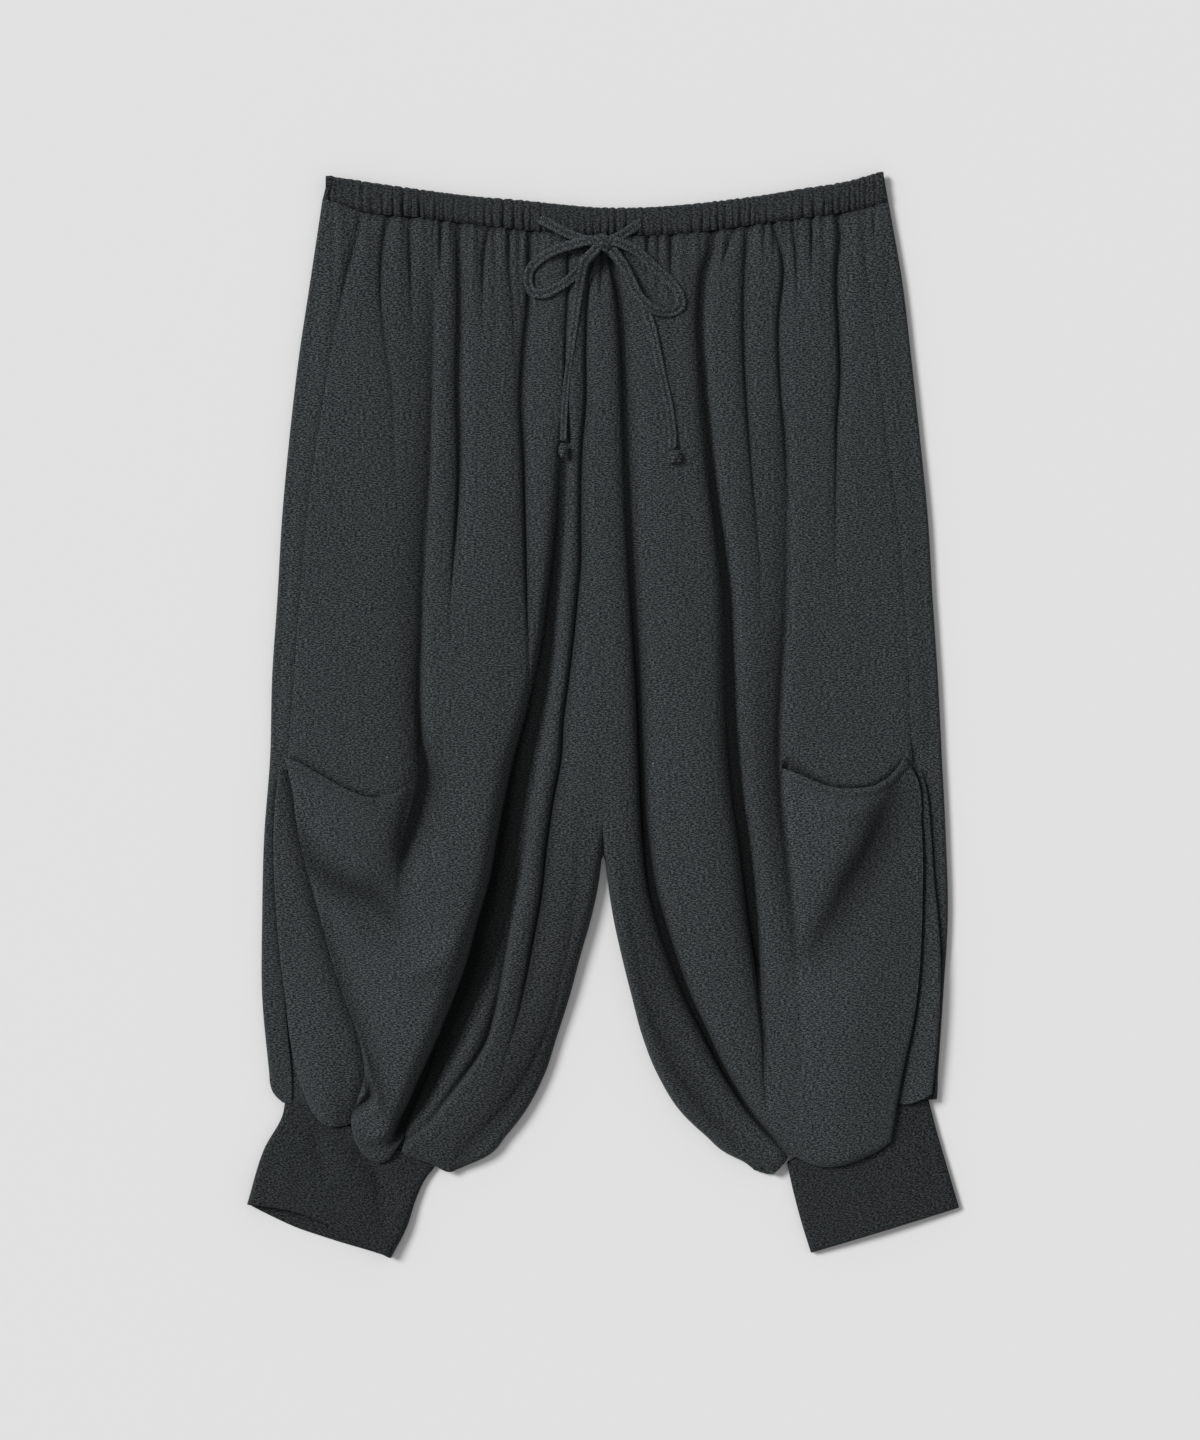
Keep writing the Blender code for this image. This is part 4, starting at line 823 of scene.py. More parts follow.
def back_grid(side):
    """The back of one leg: flat on the surface, round the outer fold and up to the side seam."""
    rows = []
    for y, y_inner in zip(*leg_rows(side, BACK_ROWS)):
        y -= BACK_LONGER[side] * smooth_step((TOP - 300 - y) / 350)
        into_corner = min(max((LEG_END[side][0] + 17 - y) / 17, 0), 1)
        corner = LEG_CORNER[side] * (1 - math.sqrt(1 - into_corner ** 2))
        bend = float(at_stations(OUTER[side], y)) - side * (ROLL / 2 + corner)
        start = float(inseam(side, np.float64(y_inner)))
        row = [(start + (bend - start) * part, y_inner + (y - y_inner) * part, 0.0)
               for part in np.linspace(0, 1, BACK_COLUMNS)]
        for step in range(1, BEND_STEPS):
            angle = math.pi * step / BEND_STEPS
            x = bend + side * math.sin(angle) * ROLL / 2
            row.append((x, y, (1 - math.cos(angle)) * ROLL / 2))
        seam = float(at_stations(SIDE_SEAM[side], y)) + side * GAP / 3
        seam -= side * max(0.0, side * (seam - bend) + 1)
        row += [(bend + (seam - bend) * part, y, ROLL)
                for part in np.linspace(0, 1, WRAP_COLUMNS)]
        rows.append(row)
    grid = np.array(rows)
    grid[..., :2] = sag_at_waist(grid[..., :2])
    lying = slice(0, BACK_COLUMNS)
    column = np.arange(BACK_COLUMNS)
    from_ends = np.minimum(column, column[::-1]) / 8
    grid[:, lying, 2] = back_creases(grid[:, lying, 0], grid[:, lying, 1]) * smooth_step(from_ends)
    top = slice(-WRAP_COLUMNS, None)
    wrapped = body_height(grid[:, top, 0], grid[:, top, 1])
    near_seam = smooth_step(np.linspace(0, 1.5, WRAP_COLUMNS))
    over_mouth = smooth_step((grid[:, top, 1] + 30) / 18)
    grid[:, top, 2] = ROLL + (wrapped - ROLL) * near_seam * over_mouth
    return grid


def painted_shade_beside_side(side, grid):
    """Painted shade on the back's wrap, by how close it lies to the edge of the folded side, from 0
    to 1.
    """
    edge = np.asarray(SIDE_OUTER[side], float)
    line = read_curve(-edge[:, 1], edge[:, 0], -grid[..., 1])
    off = np.abs(grid[..., 0] - line)
    below_mouth = smooth_step((-40 - grid[..., 1]) / 20)
    return 0.7 * np.exp(-(off / 2.6) ** 1.3) * below_mouth * (grid[..., 2] > ROLL / 2)


def pouch_grid(side):
    """A balloon pouch: its upper edge is the pocket's mouth, and its foot hangs over the cuff."""
    v = np.linspace(0, 1, POUCH_ROWS)
    outer_edge = along(POUCH_OUTER[side], v)
    inner_edge = along(POUCH_INNER[side], v)
    beside_leg = inner_edge[:, 1] > BESIDE_LEG[side]
    seam = at_stations(POUCH_SEAM[side], inner_edge[:, 1]) - side * POUCH_FLAP
    inner_edge[beside_leg, 0] = seam[beside_leg]
    u = (1 - np.cos(np.linspace(0, 1, POUCH_COLUMNS) ** 0.9 * math.pi * 0.5)) ** 0.9
    steps = np.linspace(0, 1, len(MOUTH_DROP[side]))
    grid = outer_edge[:, None] + (inner_edge - outer_edge)[:, None] * u[None, :, None]
    at_mouth = (1 - smooth_step(v / 0.3))[:, None]
    at_bottom = smooth_step((v - 0.72) / 0.28)[:, None]
    grid[..., 1] -= read_curve(steps, MOUTH_DROP[side], u)[None] * at_mouth
    grid[..., 1] -= read_curve(steps, BOTTOM_DROP[side], u)[None] * at_bottom
    x, y = grid[..., 0], grid[..., 1]
    height = body_height(x, y)
    outer_half = (1 - smooth_step((u - 0.35) / 0.6))[None]
    upper_half = (1 - smooth_step(v / 0.5))[:, None]
    height = height + POUCH_LIFT * outer_half * upper_half
    across = np.linalg.norm(grid - grid[:, :1], axis=-1)
    downward = np.linalg.norm(grid - grid[:1], axis=-1)
    upward = np.linalg.norm(grid - grid[-1:], axis=-1)
    free = smooth_step((MOUTH_FREE[side] - u) / 0.16)[None]
    hem = MOUTH_HEM * (1 - smooth_step((downward - 5.5) / 1.6)) - 0.7 * np.exp(
        -((downward - 6.6) / 0.9) ** 2)
    height = height + hem * free
    height = turned_down(height, height - 2.4 * free, downward + 0.3, 2.4)
    height = height - MOUTH_TUCK * (1 - free) * (1 - smooth_step(downward / 7))
    above_foot = 1 - smooth_step((v - 0.6) / 0.3)
    low = POUCH_LOW + FOOT_LIFT * above_foot[:, None] * np.ones_like(height)
    low = np.minimum(low, height - 0.4)
    height = turned_down(height, low + 0.5, across, POUCH_ROUND)
    height = turned_down(height, np.minimum(low, height - 0.4) + 0.5, upward, FOOT_ROUND)
    return np.concatenate([grid, height[..., None]], axis=-1)


def beside_pouch(side, x, y):
    """How close each place of the side is to the pouch's outer edge, from 0 to 1."""
    edge = np.asarray(POUCH_OUTER[side], float)
    line = read_curve(-edge[:, 1], edge[:, 0], -y)
    off = side * (x - line)
    return np.exp(-(np.maximum(off, 0) / SIDE_VALLEY_WIDE) ** 1.3)


def side_grid(side):
    """The folded side of the leg that shows beside the pouch and goes under it."""
    v = np.linspace(0, 1, SIDE_ROWS)
    outer_edge = along(SIDE_OUTER[side], v)
    inner_edge = along(SIDE_INNER[side], v)
    u = np.linspace(0, 1, SIDE_COLUMNS) ** 1.7
    grid = outer_edge[:, None] + (inner_edge - outer_edge)[:, None] * u[None, :, None]
    steps = np.linspace(0, 1, len(SIDE_BOTTOM_DROP[side]))
    at_bottom = smooth_step((v - 0.7) / 0.3)[:, None]
    grid[..., 1] -= read_curve(steps, SIDE_BOTTOM_DROP[side], u)[None] * at_bottom
    bulge = SIDE_BULGE[side] * np.sin(np.clip(u / 0.62, 0, 1) * math.pi)[None]
    height = SIDE_HIGH + bulge * smooth_step((v - 0.5) / 0.5)[:, None]
    height = height + 0.5 * soft_waves(grid[..., 0] * 1.7, grid[..., 1] * 1.7)
    height = height - SIDE_VALLEY * beside_pouch(side, grid[..., 0], grid[..., 1])
    across = np.linalg.norm(grid - grid[:, :1], axis=-1)
    height = turned_down(height, np.minimum(SIDE_LOW + 0.5, height - 0.2), across, 3.0)
    return np.concatenate([grid, height[..., None]], axis=-1)


def cuff_outline(side, hem_drop, columns, rows):
    """The laid outline of a cuff as a grid of x and y."""
    v = np.linspace(0, 1, rows)
    outer_edge = along(CUFF_OUTER[side], v)
    inner_edge = along(CUFF_INNER[side], v)
    grid = outer_edge[:, None] + (inner_edge - outer_edge)[:, None] * columns[None, :, None]
    steps = np.linspace(0, 1, len(hem_drop))
    grid[..., 1] -= read_curve(steps, hem_drop, columns)[None] * v[:, None] ** 1.5
    return grid, v


def cuff_folds(side, x, y):
    """Soft drag folds down a cuff, each along a straight line."""
    total = np.zeros_like(x)
    for x0, y0, x1, y1, rise, width in CUFF_FOLDS[side]:
        run = np.array([x1 - x0, y1 - y0])
        long = np.hypot(*run)
        part = ((x - x0) * run[0] + (y - y0) * run[1]) / long ** 2
        off = ((x - x0) * run[1] - (y - y0) * run[0]) / long
        fade = smooth_step(part / 0.25) * smooth_step((1 - part) / 0.35)
        total += rise * fade * np.exp(-(np.abs(off) / width) ** 1.6)
    return total


def cuff_front_grid(side):
    """The front of a cuff: it bows up between its two folded edges."""
    u = (1 - np.cos(np.linspace(0, 1, CUFF_COLUMNS) * math.pi)) / 2
    grid, v = cuff_outline(side, FRONT_HEM_DROP[side], u, CUFF_ROWS)
    high = CUFF_HIGH[side][0] + (CUFF_HIGH[side][1] - CUFF_HIGH[side][0]) * v
    from_ends = np.minimum(np.linalg.norm(grid - grid[:, :1], axis=-1),
                           np.linalg.norm(grid - grid[:, -1:], axis=-1))
    from_hem = np.linalg.norm(grid - grid[-1:], axis=-1)
    height = high[:, None] * (1 - CUFF_CROWN * (1 - np.sin(math.pi * u)[None]))
    height = height + cuff_folds(side, grid[..., 0], grid[..., 1])
    height = turned_down(height, height - 1.2, from_hem, 1.6)
    height = turned_down(height, np.minimum(CUFF_LOW + 0.5, height - 0.2), from_ends, CUFF_ROUND)
    return np.concatenate([grid, height[..., None]], axis=-1)


def cuff_back_grid(side):
    """The back of a cuff, flat on the surface; this is the face that lies down."""
    grid, _ = cuff_outline(side, BACK_HEM_DROP[side], np.linspace(0, 1, CUFF_BACK_COLUMNS),
                           CUFF_BACK_ROWS)
    return np.concatenate([grid, np.zeros(grid.shape[:2] + (1,))], axis=-1)


def band_gathers(x):
    """The gathers of the elastic band at x: close, narrow and uneven ridges."""
    total = np.zeros_like(x)
    for pitch, depth, phase in BAND_WAVES:
        wander = 1.7 * np.sin(x / 17 + phase) + 0.9 * np.sin(x / 7.3 + 2 * phase)
        share = 0.8 + 0.4 * np.sin(x / 12.7 + 3 * phase)
        total += depth * share * gathered(x + wander, pitch, phase)
    return total


def band_front_grid():
    """The front of the gathered waistband, between the two side seams."""
    x = np.linspace(BAND_SEAM[LEFT] + GAP / 3, BAND_SEAM[RIGHT] - GAP / 3, BAND_COLUMNS)
    gathers = band_gathers(x)
    low = waist_seam(x) + 0.1
    high = read_curve(BAND_X, BAND_Y, x) + BAND_RISE + BAND_KNOBS * gathers
    grid = []
    for part in np.linspace(0, 1, BAND_ROWS) ** 0.9:
        shift = 0.5 * np.sin(x / 2.9 + part * 2.2) * math.sin(part * math.pi)
        share = 0.65 + 0.35 * math.sin(part * math.pi * 1.7 + 0.4)
        z = BAND_HIGH + 0.5 * math.sin(part * math.pi) + gathers * share
        z = z - 1.9 * math.exp(-(part / 0.09) ** 1.3)
        z = turned_down(z, np.full_like(z, 3.6), (1 - part) * (high - low), 2.6)
        grid.append(np.column_stack([x + shift, low + (high - low) * part, z]))
    return np.stack(grid)


def band_painted_shade(grid):
    """Painted shade of the band: how deep between two gathers each place lies, and along its lower
    seam.
    """
    gathers = band_gathers(grid[..., 0])
    share = np.linspace(0, 1, len(grid))[:, None]
    seam = np.exp(-(share / 0.10) ** 2)
    return np.clip(-0.55 * gathers + 0.75 * seam - 0.05, 0, 0.8)


def band_back_grid():
    """The band's back, flat on the surface and round both ends to the side seams."""
    section = []
    for side in (LEFT, RIGHT):
        seam = BAND_SEAM[side] + side * GAP / 3
        end = [(seam + (BAND_BEND[side] - seam) * share, 2 * BAND_ROLL)
               for share in np.linspace(0, 1, BAND_WRAP_COLUMNS)[:-1]]
        for step in range(BAND_BEND_STEPS + 1):
            angle = math.pi * step / BAND_BEND_STEPS
            x = BAND_BEND[side] + side * math.sin(angle) * BAND_ROLL
            end.append((x, (1 + math.cos(angle)) * BAND_ROLL))
        section += end if side == LEFT else end[::-1]
        if side == LEFT:
            flat = np.linspace(BAND_BEND[LEFT], BAND_BEND[RIGHT], BAND_BACK_COLUMNS)
            section += [(x, 0.0) for x in flat[1:-1]]
    section = np.array(section)
    x, z = section.T
    lean = BAND_LEAN * ((x < BAND_BEND[LEFT]) * 1.0 - (x > BAND_BEND[RIGHT]) * 1.0)
    on_top = smooth_step((z - 4) / 3)
    gathers = band_gathers(x)
    low = waist_seam(x) + 0.1
    high = read_curve(BAND_X, BAND_Y, x) + (BAND_RISE + BAND_KNOBS * gathers) * on_top
    grid = []
    for part in np.linspace(0, 1, BAND_ROWS) ** 0.9:
        under = (z < 2) * smooth_step((2 - z) / 2) * (0.35 + 0.35 * np.maximum(gathers, -1))
        height = z + gathers * on_top * 0.8 + under * math.sin(part * math.pi)
        height = height - 1.6 * math.exp(-(part / 0.09) ** 1.3) * on_top
        fall = 1 - math.sqrt(1 - (1 - min((1 - part) / 0.2, 1)) ** 2)
        height = height - 2.4 * fall * on_top
        grid.append(np.column_stack([x + lean * part, low + (high - low) * part,
                                     np.maximum(height, 0)]))
    return np.stack(grid)


def knuckled(points, count):
    """Even points along the smooth curve through a route."""
    fine = along(points, np.linspace(0, 1, 4 * count))
    steps = np.linalg.norm(np.diff(fine, axis=0), axis=1)
    places = np.concatenate([[0.0], np.cumsum(steps)])
    wanted = np.linspace(0, places[-1], count)
    return np.stack([np.interp(wanted, places, column) for column in fine.T], axis=-1)


def ribbon(name, route, widths, width):
    """A flat tie swept along its route, with closed round ends; lengths in millimetres."""
    path = knuckled(route, max(60, int(TIE_POINTS_A_MM * route_length(route))))
    heading = np.gradient(path, axis=0)
    heading /= np.linalg.norm(heading, axis=1)[:, None]
    share = np.linspace(0, 1, len(path))
    table = np.asarray(widths, float)
    wide = width * np.interp(share, table[:, 0], table[:, 1])
    rounded = np.sqrt(np.clip(1 - (1 - np.minimum(share, 1 - share) / 0.006) ** 2, 0.05, 1))
    rounded = np.where(np.minimum(share, 1 - share) > 0.006, 1, rounded)
    vertices, faces = [], []
    corners = len(TIE_SECTION)
    for i, point in enumerate(path):
        up = np.array([0.0, 0.0, 1.0])
        across = np.cross(heading[i], up)
        across /= max(np.linalg.norm(across), 1e-6)
        upward = np.cross(across, heading[i])
        curl = 0.16 * math.sin(share[i] * 23) + 0.1 * math.sin(share[i] * 61)
        turned = across * math.cos(curl) + upward * math.sin(curl)
        upward = np.cross(turned, heading[i])
        for side, lift in TIE_SECTION:
            side, lift = side * wide[i] * rounded[i] / 2, lift * TIE_THICK * rounded[i] / 2
            vertices.append(tuple((point + turned * side + upward * lift) * MM))
    for i in range(len(path) - 1):
        for j in range(corners):
            k = (j + 1) % corners
            faces.append((i * corners + j, i * corners + k,
                          (i + 1) * corners + k, (i + 1) * corners + j))
    faces.append(tuple(range(corners))[::-1])
    last = (len(path) - 1) * corners
    faces.append(tuple(range(last, last + corners)))
    return mesh_piece(name, vertices, faces), path


def route_length(route):
    """The length of the smooth curve through a route."""
    fine = along(route, np.linspace(0, 1, 400))
    return float(np.linalg.norm(np.diff(fine, axis=0), axis=1).sum())


def mesh_piece(name, vertices, faces):
    """A named mesh object from its vertices and faces, its faces turned outward."""
    mesh = bpy.data.meshes.new(name)
    mesh.from_pydata(vertices, [], faces)
    piece = bpy.data.objects.new(name, mesh)
    bpy.context.collection.objects.link(piece)
    select_only(piece)
    bpy.ops.object.mode_set(mode="EDIT")
    bpy.ops.mesh.select_all(action="SELECT")
    bpy.ops.mesh.normals_make_consistent(inside=False)
    bpy.ops.object.mode_set(mode="OBJECT")
    return piece


def select_only(piece):
    """Makes one object the only selected and the active one."""
    bpy.ops.object.select_all(action="DESELECT")
    piece.select_set(True)
    bpy.context.view_layer.objects.active = piece


def apply_modifier(piece, kind, **settings):
    """Adds a modifier with these settings to a piece and applies it."""
    select_only(piece)
    modifier = piece.modifiers.new(kind.title(), kind)
    for name, value in settings.items():
        setattr(modifier, name, value)
    bpy.ops.object.modifier_apply(modifier=modifier.name)


def cloth_sheet(name, grid, wall, flip, hollow):
    """A grid of points in millimetres as a wall of cloth with its faces outward.

    The UV map holds lengths along the cloth in metres, so that the knit follows it. hollow is
    the painted shade of each point, kept as the attribute hollow, which darkens the colour.
    """
    rows, columns = grid.shape[:2]
    bpy.ops.object.select_all(action="DESELECT")
    bpy.ops.mesh.primitive_grid_add(x_subdivisions=columns - 1, y_subdivisions=rows - 1, size=1)
    piece = bpy.context.object
    piece.name = name
    piece.data.name = name
    mesh = piece.data
    ordered = grid[:, ::-1] if flip else grid
    mesh.vertices.foreach_set("co", (ordered * MM).reshape(-1))
    lengths = []
    for axis in (1, 0):
        steps = np.linalg.norm(np.diff(ordered, axis=axis), axis=-1)
        total = np.cumsum(steps, axis=axis)
        start = np.zeros_like(np.take(total, [0], axis=axis))
        lengths.append(np.concatenate([start, total], axis=axis) * MM)
    lengths[0] -= lengths[0].mean(axis=1, keepdims=True)
    lengths[1] = np.broadcast_to(lengths[1].mean(axis=1, keepdims=True), lengths[1].shape)
    corner = np.empty(len(mesh.loops), dtype=np.int32)
    mesh.loops.foreach_get("vertex_index", corner)
    flat = np.stack([lengths[0].reshape(-1)[corner], lengths[1].reshape(-1)[corner]], axis=-1)
    mesh.uv_layers[0].data.foreach_set("uv", flat.reshape(-1))
    # The painted shade of each point, none where no hollow is given
    shade = np.zeros(rows * columns) if hollow is None else \
        (hollow[:, ::-1] if flip else hollow).reshape(-1)
    mesh.attributes.new("hollow", "FLOAT", "POINT").data.foreach_set("value", shade)
    mesh.update()
    apply_modifier(piece, "SOLIDIFY", thickness=wall * MM, offset=-1.0, use_even_offset=False)
    places = np.empty(3 * len(mesh.vertices))
    mesh.vertices.foreach_get("co", places)
    places[2::3] = np.maximum(places[2::3], 0)
    mesh.vertices.foreach_set("co", places)
    select_only(piece)
    bpy.ops.object.shade_smooth_by_angle(angle=math.radians(60))
    return piece


class Reading:
    """One socket of a material, whose sums and products make the Math nodes."""

    def __init__(self, cloth, socket):
        self.cloth = cloth
        self.socket = socket

    def sum_with(self, operation, other, swapped=False):
        """A Math node of this socket and another value, in either order."""
        pair = (other, self) if swapped else (self, other)
        return self.cloth.node("ShaderNodeMath", {"operation": operation}, dict(enumerate(pair)))

    def __add__(self, other):
        return self.sum_with("ADD", other)

    def __rsub__(self, other):
        return self.sum_with("SUBTRACT", other, swapped=True)

    def __mul__(self, other):
        return self.sum_with("MULTIPLY", other)

    __radd__ = __add__
    __rmul__ = __mul__


class Finish:
    """A material of this garment, with one method that adds any node."""

    def __init__(self, name):
        self.material = bpy.data.materials.new(name)
        self.material.use_nodes = True
        self.tree = self.material.node_tree
        self.shader = self.tree.nodes["Principled BSDF"]

    def node(self, kind, settings=None, inputs=None, output=0):
        """Adds a node with its settings first and then its inputs, and reads one output."""
        added = self.tree.nodes.new(kind)
        for name, value in (settings or {}).items():
            setattr(added, name, value)
        for name, value in (inputs or {}).items():
            self.set_input(added.inputs[name], value)
        return Reading(self, added.outputs[output])

    def set_input(self, socket, value):
        """Links a reading to a socket, or sets the socket's own value."""
        if isinstance(value, Reading):
            self.tree.links.new(value.socket, socket)
        elif hasattr(socket.default_value, "__len__") and len(socket.default_value) == 4:
            socket.default_value = (*value, 1.0)
        else:
            socket.default_value = value

    def noise(self, where, scale, detail=2.0, roughness=0.5):
        """Noise from 0 to 1 at this scale."""
        return self.node("ShaderNodeTexNoise", None, {"Vector": where, "Scale": scale,
                                                      "Detail": detail, "Roughness": roughness})

    def spread(self, value, low, high):
        """Spreads the values between low and high over 0 to 1."""
        return self.node("ShaderNodeMapRange", {"clamp": True, "interpolation_type": "SMOOTHSTEP"},
                         {"Value": value, "From Min": low, "From Max": high})

    def stretched(self, where, across, down):
        """The coordinates stretched to this many units a metre across and down."""
        return self.node("ShaderNodeMapping", {"vector_type": "POINT"},
                         {"Vector": where, "Scale": (across, down, 1.0)})

    def mixed(self, factor, first, second):
        """A colour between two colours."""
        return self.node("ShaderNodeMix", {"data_type": "RGBA"},
                         {0: factor, 6: first, 7: second}, output=2)


def jersey(name, shade, seed):
    """Melange jersey: dark yarn with light fibres in short streaks, a fuzzy face and some lint;
    painted shade from the attribute hollow darkens it in folds.
    """
    cloth = Finish(name)
    settings = bpy.context.scene.garment_cloth
    base = [channel * shade for channel in settings.yarn_colour]
    place = cloth.node("ShaderNodeUVMap")
    place = cloth.node("ShaderNodeMapping", {"vector_type": "POINT"},
                       {"Vector": place, "Location": (seed, seed * 0.37, 0.0)})
    broad = cloth.noise(cloth.stretched(place, *BROAD), 1.0, 3.0)
    cloudy = cloth.noise(cloth.stretched(place, *CLOUDS), 1.0, 3.0, 0.6)
    lines = cloth.noise(cloth.stretched(place, *LINES), 1.0, 2.0, 0.5)
    streaks = cloth.noise(cloth.stretched(place, *STREAKS), 1.0, 1.0, 0.5)
    fibres = cloth.noise(cloth.stretched(place, *FIBRES), 1.0, 0.5, 0.5)
    # The attribute hollow holds painted shade, which darkens the colour in folds, between gathers,
    # at seams and on the tie
    hollow = cloth.node("ShaderNodeAttribute", {"attribute_name": "hollow"}, output=2)
    tone_and_painted_shade = (0.57 + 0.20 * broad + 0.28 * cloudy + 0.36 * lines) * (1.0 - 0.88 * hollow)
    light = cloth.spread(streaks, 0.49, 0.60) * 0.9 + cloth.spread(fibres, 0.53, 0.66) * 0.9
    dark = cloth.spread(streaks, 0.50, 0.38) * 0.6 + cloth.spread(fibres, 0.48, 0.36) * 0.5
    fibre = [channel * shade for channel in settings.fibre_colour]
    yarn = cloth.mixed(light * settings.melange, base, fibre)
    yarn = cloth.mixed(dark * 0.95, yarn, [channel * 0.35 for channel in base])
    scaled = cloth.node("ShaderNodeVectorMath", {"operation": "SCALE"}, {0: yarn, "Scale": tone_and_painted_shade})
    spots = cloth.node("ShaderNodeTexVoronoi", {"feature": "F1"},
                       {"Vector": cloth.stretched(place, *LINT), "Scale": 1.0})
    lint = cloth.spread(spots, 0.016, 0.009)
    coloured = cloth.mixed(lint * 0.35, scaled, LINT_COLOUR)
    knit = cloth.node("ShaderNodeTexWave", {"wave_type": "BANDS", "bands_direction": "X"},
                      {"Vector": cloth.stretched(place, *KNIT), "Scale": 1.0,
                       "Distortion": 1.2, "Detail": 2.0, "Detail Scale": 6.0})
    relief = 0.35 * knit + 0.9 * fibres + 0.6 * streaks
    bump = cloth.node("ShaderNodeBump", None,
                      {"Strength": 0.55, "Distance": settings.nap * 0.5, "Height": relief})
    cloth.set_input(cloth.shader.inputs["Base Color"], coloured)
    cloth.set_input(cloth.shader.inputs["Normal"], bump)
    cloth.set_input(cloth.shader.inputs["Roughness"], 0.92)
    cloth.set_input(cloth.shader.inputs["Specular IOR Level"], 0.12)
    cloth.set_input(cloth.shader.inputs["Sheen Weight"], settings.sheen)
    cloth.set_input(cloth.shader.inputs["Sheen Roughness"], 0.42)
    cloth.set_input(cloth.shader.inputs["Sheen Tint"], (0.80, 0.86, 0.90))
    return cloth.material


def finish_piece(piece, material, slot, *nodes):
    """Gives a piece its material and puts it in the place of its solids. The slot is not used."""
    piece.data.materials.clear()
    piece.data.materials.append(material)
    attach(piece, "root")
    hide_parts(*nodes)
    return piece


def cloth_material(slot):
    """The jersey of one slot, made once and then shared."""
    name = f"{slot} jersey"
    found = bpy.data.materials.get(name)
    return found or jersey(name, *SHADES[slot])


def sheet_piece(name, grid, flip, slot, flat, area, *nodes, hollow=None):
    """Makes one cut piece of cloth. Its cut, flat width and length in metres and area, is not used.
    """
    wall = bpy.context.scene.garment_cloth.wall / MM
    # hollow is the painted shade of each point of the grid
    piece = cloth_sheet(name, grid, wall, flip, hollow)
    finish_piece(piece, cloth_material(slot), slot, *nodes)
    return piece


class GarmentCloth(PropertyGroup):
    """What a user may change about the cloth."""

    yarn_colour: FloatVectorProperty(
        name="Yarn colour", description="The dark yarn of the jersey",
        subtype="COLOR", size=3, min=0.0, max=1.0, default=(0.0275, 0.0325, 0.0355))
    fibre_colour: FloatVectorProperty(
        name="Fibre colour", description="The light fibres in the jersey",
        subtype="COLOR", size=3, min=0.0, max=1.0, default=(0.115, 0.125, 0.130))
    melange: FloatProperty(
        name="Melange", description="How much the light fibres show",
        subtype="FACTOR", min=0.0, max=1.0, default=0.9)
    sheen: FloatProperty(
        name="Fuzz", description="How pale the nap is where it is seen along the cloth",
        subtype="FACTOR", min=0.0, max=1.0, default=0.12)
    nap: FloatProperty(
        name="Nap", description="How high the fibres stand",
        unit="LENGTH", subtype="DISTANCE", min=0.0, max=0.002, default=0.0006)
    wall: FloatProperty(
        name="Wall", description="How thick the cloth is",
        unit="LENGTH", subtype="DISTANCE", min=0.0008, max=0.002, default=0.0014)


class GarmentStage(PropertyGroup):
    """What a user may change about the floor, the light and the camera."""

    floor_colour: FloatVectorProperty(
        name="Floor colour", description="The plain floor under the garment",
        subtype="COLOR", size=3, min=0.0, max=1.0, default=(0.81, 0.81, 0.81))
    floor_reach: FloatProperty(
        name="Floor reach", description="How far the floor goes",
        unit="LENGTH", subtype="DISTANCE", min=1.0, default=6.0)
    camera_height: FloatProperty(
        name="Camera height", description="How far above the floor the camera hangs",
        unit="LENGTH", subtype="DISTANCE", min=1.0, default=2.612)
    sun_strength: FloatProperty(
        name="Sun strength", description="Strength of the light from the upper left",
        min=0.0, default=2.7)
    sky_strength: FloatProperty(
        name="Sky strength", description="Strength of the even light from above",
        min=0.0, default=0.36)


class GARMENT_OT_waistband(Operator):
    """Gathered elastic waistband: its front, and its back round both ends"""

    bl_idname = "garment.waistband"
    bl_label = "Waistband"

    def execute(self, context):
        grid = band_front_grid()
        sheet_piece("gathered_band_front", grid, False, "waistband", *BAND_FRONT_CUT,
                    "waistband_front", hollow=band_painted_shade(grid))
        grid = band_back_grid()
        sheet_piece("gathered_band_back", grid, True, "waistband", *BAND_BACK_CUT,
                    "waistband_back", hollow=band_painted_shade(grid))
        return {"FINISHED"}


class GARMENT_OT_fronts(Operator):
    """Fronts of both legs, with their long folds"""

    bl_idname = "garment.fronts"
    bl_label = "Leg fronts"

    def execute(self, context):
        for side in (LEFT, RIGHT):
            grid = front_grid(side)
            sheet_piece(f"leg_front_{WORDS[side]}", grid, side == LEFT, "leg",
                        *FRONT_CUT, f"front_{WORDS[side]}",
                        hollow=leg_painted_shade(side, grid[..., 0], grid[..., 1]))
        return {"FINISHED"}


class GARMENT_OT_backs(Operator):
    """Backs of both legs, flat underneath and wrapped round the outer folds"""

    bl_idname = "garment.backs"
    bl_label = "Leg backs"

    def execute(self, context):
        for side in (LEFT, RIGHT):
            grid = back_grid(side)
            sheet_piece(f"leg_back_{WORDS[side]}", grid, side == LEFT, "leg",
                        *BACK_CUT, f"back_{WORDS[side]}", hollow=painted_shade_beside_side(side, grid))
        return {"FINISHED"}


class GARMENT_OT_pouches(Operator):
    """Balloon pouches on the knees, each open along its upper edge"""

    bl_idname = "garment.pouches"
    bl_label = "Pouch pockets"

    def execute(self, context):
        for side in (LEFT, RIGHT):
            grid = pouch_grid(side)
            sheet_piece(f"pouch_cloth_{WORDS[side]}", grid, side == LEFT, "pouch",
                        *POUCH_CUT, f"pocket_{WORDS[side]}",
                        hollow=painted_shade_share(grid[..., 0], grid[..., 1]))
            # The side's hollow is painted shade beside the pouch's outer edge
            grid = side_grid(side)
            sheet_piece(f"leg_side_{WORDS[side]}", grid, side == LEFT, "pouch",
                        *SIDE_CUT[side], f"side_{WORDS[side]}",
                        hollow=0.6 * beside_pouch(side, grid[..., 0], grid[..., 1]))
        return {"FINISHED"}


